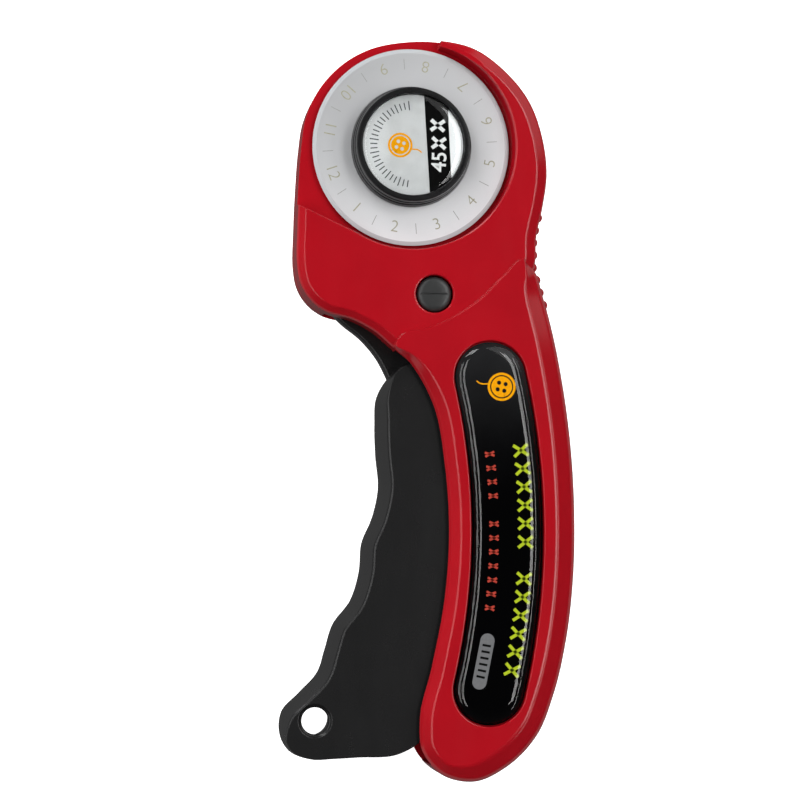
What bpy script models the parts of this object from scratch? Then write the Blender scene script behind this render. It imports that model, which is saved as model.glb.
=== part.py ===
"""Rotary cutter with a squeeze lever, lying on its back with its face up.

Plan sizes are in millimetres from the blade's axis: +X to the right, +Y towards the head, and
+Z up from the surface that the cutter lies on. MM turns them into metres.
"""
import math

import bmesh
import bpy
from mathutils import Matrix, Vector

MM = 0.001

# Where the blade's axis stands from the origin, which is under the middle of the whole cutter.
HUB_X = -4.07
HUB_Y = 59.66

# Driving sizes.
HANDLE_THICK = 22.0
HEAD_BACK = 5.0
HEAD_FACE = 21.0
PARTING = 11.0
SEAM = 0.15
EDGE_ROUND = 4.0
HEAD_ROUND = 2.4
PATH_STEP = 3.8

# The lever's pivot and the lock button.
PIVOT = (-14.5, -27.5)
LOCK = (5.0, -33.7)
HUB = (0.0, 0.0)
SQUEEZE = 12.0
PIN_RADIUS = 2.0
PIN_LOW = 6.5
PIN_TOP = 19.3
PIN_GRIP = 0.15
PIN_RUN = 0.08
PIVOT_BULGE = 11.5

# Inside heights of the two shells.
CAVITY_LOW = 3.0
CAVITY_HIGH = 19.0
HEAD_CAVITY_LOW = 7.6
GUARD_UNDER = 14.0
GUARD_TOP = 16.5
RECESS_RADIUS = 23.6
RECESS_FLARE = 1.05
SPRING_ROOM = 7.2

# Lever heights.
ARM_LOW = 9.0
ARM_HIGH = 13.0
GRIP_LOW = 4.0
GRIP_HIGH = 18.0
GRIP_ROUND = 2.8
HANG_HOLE = (-21.7, -129.8)
HANG_RADIUS = 3.1
HANG_RING = 4.4
HANG_STEP = 0.5
PIVOT_BOSS = 5.6
CORE_TOP = 13.5

# Hollows in the back of the grip, between its ribs.
GRIP_CORES = [
    [(-3.6, -58.0), (4.8, -58.0), (8.6, -70.0), (8.6, -77.0), (-2.8, -77.0), (-3.8, -68.0)],
    [(-3.0, -80.0), (9.4, -80.0), (9.0, -92.0), (7.8, -100.0), (-7.2, -100.0), (-6.8, -92.0)],
    [(-8.8, -103.0), (7.2, -103.0), (4.6, -115.0), (2.4, -122.0), (-15.6, -122.0), (-14.6, -113.0)],
]

# The torsion spring round the pivot pin.
SPRING_WIRE = 0.45
SPRING_COIL = 3.1
SPRING_TURNS = 3
SPRING_LOW = 14.2
SPRING_PITCH = 1.05
SPRING_LEG = 5.4
SPRING_PEG = (PIVOT[0] + 3.2, PIVOT[1] - 4.65)

# The straight wire that snaps into the button's grooves.
WIRE_RADIUS = 0.4
WIRE_HEIGHT = 8.15
WIRE_OFFSET = 3.05
WIRE_HALF = 8.0
WIRE_PEGS = [(LOCK[0] - 6.5, LOCK[1] - WIRE_OFFSET - 1.5), (LOCK[0] + 6.5, LOCK[1] - WIRE_OFFSET - 1.5)]

# Blade and hub.
BLADE_RADIUS = 22.5
BLADE_BEVEL = 1.4
BLADE_BORE = 4.0
BLADE_LOW = 17.4
BLADE_THICK = 0.3
BOLT_RADIUS = 2.5
BOLT_FLAT = 2.0
FIT = 0.15
BOSS_RADIUS = 6.0
SLOT_RADIUS = 6.5
CAP_RADIUS = 13.35
CAP_LOW = 18.0
CAP_TOP = 22.9
NUT_RADIUS = 11.5
NUT_TOP = 4.7

# Lock button: a wide front end, a thin neck in the lever's plane, and a middling rear end.
LOCK_HEAD = 4.0
LOCK_NECK = 1.9
LOCK_TAIL = 3.0
LOCK_GROOVE = 2.4
LOCK_TOP = 20.75
LOCK_END = 2.2
LOCK_GAP = 0.25

# Screws: plan place, height of the seat under the head, height of the tip.
SCREWS = [
    (14.0, -139.8, 4.0, 16.5),
    (31.0, -86.0, 4.0, 16.5),
    (25.8, -40.0, 4.0, 16.5),
    (-15.5, 13.5, 7.0, 15.0),
    (26.2, -4.0, 7.0, 16.5),
]
SCREW_SHANK = 1.15
SCREW_HEAD = 2.6
SCREW_HEAD_HIGH = 1.8
SCREW_POINT = 1.2
DRIVE = (2.8, 0.7, 1.8)
BORE_GAP = 0.35
POST_BACK = 3.75
POST_FRONT = 2.9
POST_INTO_SHELL = 0.8

# Thumb ribs in the hollow of the spine.
RIB_COUNT = 8
RIB_PITCH = 2.87
RIB_FIRST = -15.6
RIB_RADIUS = 1.15
RIB_SINK = 0.35
RIB_LOW = 7.6
RIB_TOP = 17.6

# Label pocket: a band along an arc, with round ends.
LABEL_ARC_CENTRE = (-133.3, -87.0)
LABEL_ARC_RADIUS = 154.8
LABEL_START = -13.4
LABEL_END = 12.85
LABEL_HALF = 8.3
LABEL_GAP = 0.3
POCKET_FLOOR = 20.6
DOME_TOP = 22.6
DOME_ROUND = 0.9

# A box that is bigger than a whole shell, to trim it at its parting.
TRIM_PLACE = (0.0, -60.0)
TRIM_SIZE = (120.0, 240.0, 20.0)

RED = (0.42, 0.009, 0.018)
BLACK = (0.017, 0.017, 0.018)
CHARCOAL = (0.045, 0.047, 0.047)
STEEL = (0.62, 0.62, 0.63)
BRIGHT = (0.78, 0.78, 0.79)
BRASS = (0.62, 0.42, 0.16)
CLEAR = (0.9, 0.92, 0.93)


def tidy_scene():
    for obj in list(bpy.data.objects):
        bpy.data.objects.remove(obj, do_unlink=True)


def new_collection(name):
    group = bpy.data.collections.new(name)
    bpy.context.scene.collection.children.link(group)
    return group


def material(name, colour, roughness, metallic=0.0, alpha=1.0):
    made = bpy.data.materials.new(name)
    made.use_nodes = True
    shader = made.node_tree.nodes["Principled BSDF"]
    shader.inputs["Base Color"].default_value = (*colour, 1.0)
    shader.inputs["Roughness"].default_value = roughness
    shader.inputs["Metallic"].default_value = metallic
    shader.inputs["Alpha"].default_value = alpha
    return made


# ---------------------------------------------------------------- plan outlines

def arc(centre, radius, start, end, count):
    """Points on an arc from one angle to another, in degrees, both ends included."""
    points = []
    for i in range(count + 1):
        angle = math.radians(start + (end - start) * i / count)
        points.append((centre[0] + radius * math.cos(angle), centre[1] + radius * math.sin(angle)))
    return points


def smooth_run(points, closed=True, step=PATH_STEP):
    """A smooth run through the points, with about one vertex every step."""
    count = len(points)
    spots = [Vector(p) for p in points]
    slopes = []
    for i in range(count):
        before = spots[i] - spots[i - 1]
        after = spots[(i + 1) % count] - spots[i]
        if not closed and i == 0:
            before = after
        if not closed and i == count - 1:
            after = before
        d0 = before.length
        d1 = after.length
        slopes.append((after / d1 * d0 + before / d0 * d1) / (d0 + d1))
    run = []
    for i in range(count if closed else count - 1):
        a = spots[i]
        b = spots[(i + 1) % count]
        length = (b - a).length
        pieces = max(1, round(length / step))
        for k in range(pieces):
            t = k / pieces
            h00 = 2 * t**3 - 3 * t**2 + 1
            h10 = t**3 - 2 * t**2 + t
            h01 = 3 * t**2 - 2 * t**3
            h11 = t**3 - t**2
            spot = a * h00 + slopes[i] * length * h10 + b * h01 + slopes[(i + 1) % count] * length * h11
            run.append((spot.x, spot.y))
    if not closed:
        run.append(points[-1])
    return run


def band(path, half, end_steps=8):
    """The outline of a band of constant width along a path, with round ends."""
    spots = [Vector(p) for p in path]
    headings = []
    for i in range(len(spots)):
        ahead = spots[min(i + 1, len(spots) - 1)] - spots[max(i - 1, 0)]
        headings.append(math.degrees(math.atan2(ahead.y, ahead.x)))
    right = [arc(p, half, h - 90, h - 90, 1)[0] for p, h in zip(path, headings)]
    left = [arc(p, half, h + 90, h + 90, 1)[0] for p, h in zip(path, headings)]
    far_end = arc(path[-1], half, headings[-1] - 90, headings[-1] + 90, end_steps)[1:-1]
    near_end = arc(path[0], half, headings[0] + 90, headings[0] + 270, end_steps)[1:-1]
    return right + far_end + left[::-1] + near_end


def swing_path(point, before=0.6, after=0.6, count=6):
    """The path of a point of the lever as it swings, with a little to spare at both ends."""
    arm = Vector(point) - Vector(PIVOT)
    start = math.degrees(math.atan2(arm.y, arm.x))
    return arc(PIVOT, arm.length, start - before, start + SQUEEZE + after, count)


def head_outline():
    left = [(-26.0, -18.0), (-25.6, -9.0)]
    guard = arc(HUB, 24.9, 178, 112, 5)
    top = [(-1.0, 25.0), (6.5, 24.7), (14.0, 22.6), (21.0, 17.6), (26.8, 10.6), (30.2, 2.2)]
    right = [(31.1, -6.0), (30.1, -13.5), (28.6, -20.5), (28.3, -26.5)]
    inside = [(25.5, -33.0), (21.0, -41.0), (10.0, -48.0), (2.0, -49.5)]
    under = [(-3.2, -46.6), (-8.8, -42.0), (-13.6, -39.5)]
    bulge = arc(PIVOT, PIVOT_BULGE, 243, 184, 5)
    return smooth_run(left + guard + top + right + inside + under + bulge)


def handle_outline():
    crease = [(-2.6, -42.9), (3.2, -41.3), (9.5, -38.4), (15.3, -34.2), (20.6, -28.9), (25.4, -25.3)]
    spine = [(28.3, -28.0), (30.2, -33.6), (32.4, -41.8), (34.7, -53.5), (36.5, -67.0)]
    outer = [(37.4, -83.0), (37.1, -97.5), (35.3, -112.5), (32.8, -124.0), (28.8, -134.0)]
    foot = [(22.4, -141.0), (14.0, -144.4), (6.8, -142.0), (2.2, -136.6)]
    inner = [(1.6, -130.0), (4.4, -117.6), (7.2, -103.0), (8.3, -88.0), (7.4, -72.8), (4.6, -58.4)]
    shoulder = [(-0.6, -49.2), (-4.2, -45.2)]
    return smooth_run(crease + spine + outer + foot + inner + shoulder)


def handle_cavity_outline():
    """The deep hollow of the handle, open on the lever's side."""
    top = [(-4.0, -46.6), (3.0, -44.0), (12.0, -43.4), (24.0, -44.5)]
    outer = [(30.6, -49.0), (33.4, -62.0), (34.7, -84.0), (34.3, -98.0), (32.4, -112.5), (29.6, -124.0)]
    foot = [(26.0, -132.6), (20.2, -138.6), (13.2, -141.2), (8.0, -139.8)]
    mouth = [(-2.0, -139.6), (-40.0, -141.5), (-42.0, -90.0), (-20.0, -53.0)]
    return smooth_run(top + outer + foot, False, 5.0) + mouth


def head_cavity_outline():
    """The shallow hollow of the head, with the arm's way out under the pivot."""
    left = [(-23.4, -18.0), (-23.1, -8.0)]
    guard = arc(HUB, 22.4, 178, 112, 5)
    right = [(2.0, 22.4), (12.0, 20.6), (19.5, 15.4), (24.6, 8.6), (27.6, 0.0), (28.2, -8.0)]
    spine = [(26.2, -18.0), (25.4, -26.5), (22.0, -36.0)]
    wall = smooth_run(left + guard + right + spine, False, 4.0)
    way_out = [(20.0, -46.5), (4.0, -52.0), (-10.0, -58.0), (-24.0, -52.0), (-19.4, -38.8)]
    bulge = arc(PIVOT, 8.8, 236, 186, 6)
    return wall + way_out + bulge


def recess_outline(radius):
    """The blade's recess: round the blade on the right, and open to the left and the top."""
    wall = arc(HUB, radius, 238.5, 434, 26)
    return wall + [(9.4, 40.0), (-44.0, 40.0), (-44.0, -5.4)]


def arm_outline():
    carrier = arc(HUB, 8.4, -10, 190, 8)
    left = [(-10.2, -7.0), (-15.0, -15.0), (-19.6, -21.6)]
    pivot = arc(PIVOT, 6.4, 170, 215, 3)
    strip = [(-18.6, -36.4), (-15.6, -39.8), (-11.0, -43.5), (-7.6, -47.4), (-4.6, -53.0)]
    root = [(-2.0, -60.0), (3.0, -60.0), (4.6, -52.0), (8.4, -45.0)]
    right = [(12.0, -38.6), (12.6, -31.0), (10.2, -20.0), (8.4, -9.0)]
    return smooth_run(carrier + left + pivot + strip + root + right)


def grip_outline():
    corner = [(-1.0, -49.4), (-5.0, -52.9), (-7.1, -56.6)]
    grooves = [(-7.6, -63.0), (-7.4, -70.0), (-6.8, -77.6), (-8.2, -84.2), (-10.6, -90.0), (-11.2, -96.6)]
    low_groove = [(-13.2, -103.0), (-17.2, -108.4), (-19.0, -114.0), (-20.6, -119.0), (-24.9, -123.8)]
    toe = [(-28.8, -128.0), (-29.3, -132.4), (-27.2, -136.8), (-22.6, -138.7)]
    foot = [(-12.0, -138.4), (-2.6, -137.7), (2.4, -134.8), (5.4, -128.0)]
    inside = [(9.2, -112.5), (12.0, -98.0), (12.8, -85.0), (12.0, -72.0), (9.6, -60.0), (6.4, -53.2)]
    top = [(2.8, -49.8)]
    return smooth_run(corner + grooves + low_groove + toe + foot + inside + top)


def label_path(count=12):
    return arc(LABEL_ARC_CENTRE, LABEL_ARC_RADIUS, LABEL_START, LABEL_END, count)


def double_d(radius, flat, count=6):
    """A round with two flats."""
    corner = math.degrees(math.acos(flat / radius))
    right = arc(HUB, radius, -90 + corner, 90 - corner, count)
    left = arc(HUB, radius, 90 + corner, 270 - corner, count)
    return right + left


# ---------------------------------------------------------------- solids

class Workshop:
    """Makes solids in the blade's frame, and puts parts and cutters in their collections."""

    def __init__(self):
        self.parts = new_collection("rotary_cutter")
        self.cutters = new_collection("cutters")
        self.root = self.empty("cutter_frame", (0.0, 0.0, 0.0))
        self.root.location = (HUB_X * MM, HUB_Y * MM, 0.0)

    def empty(self, name, place):
        made = bpy.data.objects.new(name, None)
        made.empty_display_size = 0.01
        made.location = Vector(place) * MM
        self.cutters.objects.link(made)
        return made

    def axis(self, name, place, parent=None):
        """An empty on a joint's axis; place is in the blade's frame."""
        made = self.empty(name, place)
        made.parent = parent or self.root
        if parent is not None:
            made.location = Vector(place) * MM - parent.location
        return made

    def from_mesh(self, name, mesh):
        made = bpy.data.objects.new(name, mesh)
        made.parent = self.root
        self.cutters.objects.link(made)
        made.hide_render = True
        made.display_type = "WIRE"
        return made

    def slab(self, name, outline, low, high):
        """A flat outline extruded between two heights."""
        curve = bpy.data.curves.new(name, "CURVE")
        curve.dimensions = "2D"
        curve.fill_mode = "BOTH"
        curve.extrude = (high - low) * MM / 2
        spline = curve.splines.new("POLY")
        spline.points.add(len(outline) - 1)
        for point, (x, y) in zip(spline.points, outline):
            point.co = (x * MM, y * MM, 0.0, 1.0)
        spline.use_cyclic_u = True
        drawn = bpy.data.objects.new(name + "_curve", curve)
        drawn.location = (0.0, 0.0, (low + high) * MM / 2)
        bpy.context.scene.collection.objects.link(drawn)
        bpy.context.view_layer.update()
        ready = drawn.evaluated_get(bpy.context.evaluated_depsgraph_get())
        mesh = bpy.data.meshes.new_from_object(ready)
        mesh.transform(drawn.matrix_world)
        bpy.data.objects.remove(drawn, do_unlink=True)
        solid = bmesh.new()
        solid.from_mesh(mesh)
        bmesh.ops.remove_doubles(solid, verts=solid.verts, dist=0.00001)
        bmesh.ops.recalc_face_normals(solid, faces=solid.faces)
        inner = [edge for edge in solid.edges if all(abs(face.normal.z) > 0.9 for face in edge.link_faces)]
        bmesh.ops.dissolve_edges(solid, edges=inner)
        solid.to_mesh(mesh)
        solid.free()
        return self.from_mesh(name, mesh)

    def turned(self, name, profile, centre=HUB, steps=48):
        """A solid turned about a vertical axis; the profile runs down its outer side."""
        mesh = bpy.data.meshes.new(name)
        solid = bmesh.new()
        spots = [solid.verts.new((r * MM, 0.0, z * MM)) for r, z in profile]
        closed = profile[0][0] > 0.0
        for i in range(len(spots) - 1):
            solid.edges.new((spots[i], spots[i + 1]))
        if closed:
            solid.edges.new((spots[-1], spots[0]))
        solid.to_mesh(mesh)
        solid.free()
        made = self.from_mesh(name, mesh)
        spin = made.modifiers.new("turn", "SCREW")
        spin.axis = "Z"
        spin.angle = math.tau
        spin.steps = steps
        spin.render_steps = steps
        spin.use_merge_vertices = True
        spin.merge_threshold = 0.00001
        self.bake(made)
        solid = bmesh.new()
        solid.from_mesh(made.data)
        bmesh.ops.recalc_face_normals(solid, faces=solid.faces)
        solid.to_mesh(made.data)
        solid.free()
        made.data.transform(Matrix.Translation((centre[0] * MM, centre[1] * MM, 0.0)))
        return made

    def cylinder(self, name, centre, radius, low, high, steps=24):
        profile = [(0.0, high), (radius, high), (radius, low), (0.0, low)]
        return self.turned(name, profile, centre, steps)

    def ring(self, name, centre, outer, inner, low, high, steps=32):
        profile = [(inner, high), (outer, high), (outer, low), (inner, low)]
        return self.turned(name, profile, centre, steps)

    def box(self, name, centre, size, turn=0.0):
        mesh = bpy.data.meshes.new(name)
        solid = bmesh.new()
        bmesh.ops.create_cube(solid, size=1.0)
        solid.to_mesh(mesh)
        solid.free()
        mesh.transform(Matrix.Diagonal((size[0] * MM, size[1] * MM, size[2] * MM, 1.0)))
        mesh.transform(Matrix.Rotation(math.radians(turn), 4, "Z"))
        mesh.transform(Matrix.Translation(Vector(centre) * MM))
        return self.from_mesh(name, mesh)

    def wire(self, name, points, radius):
        """A round wire through points, as a closed mesh."""
        curve = bpy.data.curves.new(name, "CURVE")
        curve.dimensions = "3D"
        curve.bevel_depth = radius * MM
        curve.bevel_resolution = 2
        curve.use_fill_caps = True
        spline = curve.splines.new("POLY")
        spline.points.add(len(points) - 1)
        for point, spot in zip(spline.points, points):
            point.co = (*(Vector(spot) * MM), 1.0)
        drawn = bpy.data.objects.new(name + "_curve", curve)
        bpy.context.scene.collection.objects.link(drawn)
        ready = drawn.evaluated_get(bpy.context.evaluated_depsgraph_get())
        mesh = bpy.data.meshes.new_from_object(ready)
        bpy.data.objects.remove(drawn, do_unlink=True)
        solid = bmesh.new()
        solid.from_mesh(mesh)
        bmesh.ops.remove_doubles(solid, verts=solid.verts, dist=0.000001)
        bmesh.ops.recalc_face_normals(solid, faces=solid.faces)
        solid.to_mesh(mesh)
        solid.free()
        return self.from_mesh(name, mesh)

    def bake(self, made):
        """Applies an object's modifiers."""
        bpy.context.view_layer.update()
        ready = made.evaluated_get(bpy.context.evaluated_depsgraph_get())
        mesh = bpy.data.meshes.new_from_object(ready)
        made.modifiers.clear()
        made.data = mesh

    def round_rim(self, made, height, width, segments=3):
        """Rounds the edges of a slab that lie at one height."""
        solid = bmesh.new()
        solid.from_mesh(made.data)
        weight = solid.edges.layers.float.new("bevel_weight_edge")
        for edge in solid.edges:
            if all(abs(vert.co.z - height * MM) < 0.00001 for vert in edge.verts):
                edge[weight] = 1.0
        solid.to_mesh(made.data)
        solid.free()
        bevel = made.modifiers.new("round_rim", "BEVEL")
        bevel.limit_method = "WEIGHT"
        bevel.width = width * MM
        bevel.segments = segments
        bevel.use_clamp_overlap = False
        self.bake(made)

    def combine(self, made, tools, operation):
        for tool in tools:
            step = made.modifiers.new(tool.name, "BOOLEAN")
            step.operation = operation
            step.solver = "EXACT"
            step.object = tool

    def add(self, made, *tools):
        self.combine(made, tools, "UNION")

    def cut(self, made, *tools):
        self.combine(made, tools, "DIFFERENCE")

    def finish(self, made, name, finish, pivot=None):
        """Makes a solid into a part, with its origin on its joint's axis."""
        self.bake(made)
        made.name = name
        made.data.name = name
        made.data.materials.clear()
        made.data.materials.append(finish)
        made.hide_render = False
        made.display_type = "TEXTURED"
        made.data.shade_smooth()
        made.data.set_sharp_from_angle(angle=math.radians(35))
        if pivot is not None:
            place = pivot.matrix_world.translation - self.root.matrix_world.translation
            made.data.transform(Matrix.Translation(-place))
            made.parent = pivot
        self.cutters.objects.unlink(made)
        self.parts.objects.link(made)
        return made


# ---------------------------------------------------------------- red shells

def rib_places():
    """Places of the thumb ribs, evenly spaced along the hollow of the spine."""
    outline = handle_outline()
    full = head_outline()
    spine = [p for p in full if p[0] > 27.5 and -27.0 < p[1] < -12.0]
    spine += [p for p in outline if p[0] > 27.5 and -42.0 < p[1] < -28.0]
    spine.sort(key=lambda p: -p[1])
    places = []
    for k in range(RIB_COUNT):
        height = RIB_FIRST - k * RIB_PITCH
        for a, b in zip(spine, spine[1:]):
            if a[1] >= height > b[1]:
                t = (a[1] - height) / (a[1] - b[1])
                places.append((a[0] + (b[0] - a[0]) * t - RIB_SINK, height))
    return places


def front_shell(shop, finish):
    low = PARTING + SEAM
    shell = shop.slab("front_handle", handle_outline(), low - 2.0, HANDLE_THICK)
    shop.round_rim(shell, HANDLE_THICK, EDGE_ROUND)
    head = shop.slab("front_head", head_outline(), low - 2.5, HEAD_FACE)
    shop.round_rim(head, HEAD_FACE, HEAD_ROUND)
    shop.add(shell, head)
    for k, place in enumerate(rib_places()):
        shop.add(shell, shop.cylinder(f"front_rib_{k}", place, RIB_RADIUS, low - 3.0, RIB_TOP, 10))
    deep = shop.slab("front_cavity", handle_cavity_outline(), 5.0, CAVITY_HIGH)
    shallow = shop.slab("front_head_cavity", head_cavity_outline(), 6.0, GUARD_UNDER)
    recess = shop.slab("blade_recess", recess_outline(RECESS_RADIUS), GUARD_TOP, 26.0)
    for vert in recess.data.vertices:
        if vert.co.z > (GUARD_TOP + 1.0) * MM and vert.co.xy.length < (RECESS_RADIUS + 1.0) * MM:
            vert.co.xy = vert.co.xy * RECESS_FLARE
    pocket = shop.slab("label_pocket", band(label_path(), LABEL_HALF), POCKET_FLOOR, 30.0)
    spring_room = shop.cylinder("spring_room", PIVOT, SPRING_ROOM, 10.0, 18.0)
    slot = shop.slab("front_hub_slot", band(swing_path(HUB), SLOT_RADIUS), 10.0, 20.0)
    button = shop.cylinder("button_hole", LOCK, LOCK_HEAD + LOCK_GAP, 10.0, 30.0)
    shop.cut(shell, deep, shallow, recess, pocket, spring_room, slot, button)
    for k, (x, y, seat, tip) in enumerate(SCREWS):
        roof = (CAVITY_HIGH if seat < HEAD_BACK else GUARD_UNDER) + POST_INTO_SHELL
        shop.add(shell, shop.cylinder(f"front_post_{k}", (x, y), POST_FRONT, low - 1.0, roof, 16))
    for k, (x, y, seat, tip) in enumerate(SCREWS):
        shop.cut(shell, shop.cylinder(f"pilot_{k}", (x, y), SCREW_SHANK + FIT, 5.0, tip + 0.5, 12))
    shop.cut(shell, shop.cylinder("front_pin_bore", PIVOT, PIN_RADIUS + PIN_GRIP, 10.0, PIN_TOP + 0.3, 16))
    shop.cut(shell, shop.box("front_parting", (*TRIM_PLACE, low - TRIM_SIZE[2] / 2), TRIM_SIZE))
    return shop.finish(shell, "front_shell", finish)


def back_shell(shop, finish):
    high = PARTING - SEAM
    shell = shop.slab("back_handle", handle_outline(), 0.0, high + 2.0)
    shop.round_rim(shell, 0.0, EDGE_ROUND)
    head = shop.slab("back_head", head_outline(), HEAD_BACK, high + 2.5)
    shop.round_rim(head, HEAD_BACK, HEAD_ROUND)
    shop.add(shell, head)
    for k, place in enumerate(rib_places()):
        shop.add(shell, shop.cylinder(f"back_rib_{k}", place, RIB_RADIUS, RIB_LOW, high + 3.0, 10))
    deep = shop.slab("back_cavity", handle_cavity_outline(), CAVITY_LOW, 16.0)
    shallow = shop.slab("back_head_cavity", head_cavity_outline(), HEAD_CAVITY_LOW, 16.0)
    slot = shop.slab("back_hub_slot", band(swing_path(HUB), SLOT_RADIUS), 2.0, 12.0)
    button = shop.cylinder("button_tail_hole", LOCK, LOCK_TAIL + LOCK_GAP, -2.0, 12.0)
    shop.cut(shell, deep, shallow, slot, button)
    for k, (x, y, seat, tip) in enumerate(SCREWS):
        floor = (CAVITY_LOW if seat < HEAD_BACK else HEAD_CAVITY_LOW) - POST_INTO_SHELL
        shop.add(shell, shop.cylinder(f"back_post_{k}", (x, y), POST_BACK, floor, high + 1.0, 20))
    for k, (x, y) in enumerate(WIRE_PEGS):
        shop.add(shell, shop.cylinder(f"wire_peg_{k}", (x, y), 0.8, 6.6, 8.7, 10))
    for k, (x, y, seat, tip) in enumerate(SCREWS):
        well = [
            (0.0, 15.0), (SCREW_SHANK + BORE_GAP, 15.0), (SCREW_SHANK + BORE_GAP, seat),
            (SCREW_HEAD + BORE_GAP, seat), (SCREW_HEAD + BORE_GAP, -2.0), (0.0, -2.0),
        ]
        shop.cut(shell, shop.turned(f"screw_well_{k}", well, (x, y), 20))
    shop.cut(shell, shop.cylinder("back_pin_bore", PIVOT, PIN_RADIUS + PIN_GRIP, PIN_LOW - 0.3, 15.0, 16))
    shop.cut(shell, shop.box("back_parting", (*TRIM_PLACE, high + TRIM_SIZE[2] / 2), TRIM_SIZE))
    return shop.finish(shell, "back_shell", finish)


# ---------------------------------------------------------------- lever

def trigger_lever(shop, finish, pivot):
    lever = shop.slab("grip", grip_outline(), GRIP_LOW, GRIP_HIGH)
    shop.round_rim(lever, GRIP_HIGH, GRIP_ROUND, 2)
    shop.round_rim(lever, GRIP_LOW, GRIP_ROUND, 2)
    arm = shop.slab("arm", arm_outline(), ARM_LOW, ARM_HIGH)
    shop.round_rim(arm, ARM_HIGH, 0.8, 1)
    front_boss = shop.cylinder("front_boss", HUB, BOSS_RADIUS, 10.0, BLADE_LOW - 0.3)
    rear_boss = shop.cylinder("rear_boss", HUB, BOSS_RADIUS, 5.9, 12.0)
    pivot_boss = shop.cylinder("pivot_boss", PIVOT, PIVOT_BOSS, 7.9, 13.4)
    peg = shop.cylinder("spring_peg", SPRING_PEG, 0.9, 12.0, 15.0, 12)
    shop.add(lever, arm, front_boss, rear_boss, pivot_boss, peg)
    bore = shop.slab("bolt_bore", double_d(BOLT_RADIUS + FIT, BOLT_FLAT + FIT), 4.0, 20.0)
    pin_bore = shop.cylinder("lever_pin_bore", PIVOT, PIN_RADIUS + PIN_RUN, 5.0, 16.0, 24)
    reach = lock_path()
    lobe_out = shop.cylinder("lock_lobe_out", reach[0], LOCK_TAIL + FIT, 8.0, 15.0, 20)
    lobe_in = shop.cylinder("lock_lobe_in", reach[-1], LOCK_TAIL + FIT, 8.0, 15.0, 20)
    waist = shop.slab("lock_waist", band(reach, LOCK_NECK + LOCK_GAP), 8.0, 15.0)
    hang_profile = [
        (0.0, 22.0), (HANG_RING, 22.0), (HANG_RING, GRIP_HIGH - HANG_STEP),
        (HANG_RADIUS, GRIP_HIGH - HANG_STEP), (HANG_RADIUS, GRIP_LOW + HANG_STEP),
        (HANG_RING, GRIP_LOW + HANG_STEP), (HANG_RING, 0.0), (0.0, 0.0),
    ]
    hang = shop.turned("hang_hole", hang_profile, HANG_HOLE, 24)
    shop.cut(lever, bore, pin_bore, lobe_out, lobe_in, waist, hang)
    for k, corners in enumerate(GRIP_CORES):
        shop.cut(lever, shop.slab(f"grip_core_{k}", smooth_run(corners, True, 4.0), 0.0, CORE_TOP))
    return shop.finish(lever, "trigger_lever", finish, pivot)


def lock_path(count=6):
    """The button's path as the lever sees it: it runs backwards round the pivot."""
    arm = Vector(LOCK) - Vector(PIVOT)
    start = math.degrees(math.atan2(arm.y, arm.x))
    return arc(PIVOT, arm.length, start, start - SQUEEZE, count)


def return_spring(shop, finish):
    centre = Vector((*PIVOT, 0.0))
    points = [centre + Vector((SPRING_LEG, -SPRING_COIL, SPRING_LOW))]
    per_turn = 12
    total = SPRING_TURNS * per_turn
    for k in range(total + 1):
        angle = math.radians(-90 - 360 * k / per_turn)
        height = SPRING_LOW + SPRING_PITCH * k / per_turn
        spot = Vector((SPRING_COIL * math.cos(angle), SPRING_COIL * math.sin(angle), height))
        points.append(centre + spot)
    points.append(centre + Vector((-SPRING_LEG, -SPRING_COIL, SPRING_LOW + SPRING_PITCH * SPRING_TURNS)))
    return shop.finish(shop.wire("spring_wire", points, SPRING_WIRE), "return_spring", finish)


def detent_wire(shop, finish):
    y = LOCK[1] - WIRE_OFFSET
    points = [(LOCK[0] - WIRE_HALF + 4.0 * k, y, WIRE_HEIGHT) for k in range(5)]
    return shop.finish(shop.wire("detent", points, WIRE_RADIUS), "detent_wire", finish)


def pivot_pin(shop, finish):
    tip = PIN_RADIUS - 0.4
    profile = [
        (0.0, PIN_TOP), (tip, PIN_TOP), (PIN_RADIUS, PIN_TOP - 0.4), (PIN_RADIUS, PIN_LOW + 0.4),
        (tip, PIN_LOW), (0.0, PIN_LOW),
    ]
    return shop.finish(shop.turned("pin", profile, PIVOT, 24), "pivot_pin", finish)


def shell_screws(shop, finish):
    for k, (x, y, seat, tip) in enumerate(SCREWS):
        top = seat - 0.2
        profile = [
            (0.0, tip), (SCREW_SHANK * 0.5, tip), (SCREW_SHANK, tip - SCREW_POINT), (SCREW_SHANK, top),
            (SCREW_HEAD, top), (SCREW_HEAD, top - 1.1), (SCREW_HEAD - 0.9, top - SCREW_HEAD_HIGH),
            (0.0, top - SCREW_HEAD_HIGH),
        ]
        screw = shop.turned(f"screw_{k}", profile, (x, y), 14)
        drive = (x, y, top - SCREW_HEAD_HIGH)
        shop.cut(screw, shop.box(f"drive_a_{k}", drive, DRIVE))
        shop.cut(screw, shop.box(f"drive_b_{k}", drive, DRIVE, 90.0))
        shop.finish(screw, f"shell_screw_{k + 1}", finish)


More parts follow.
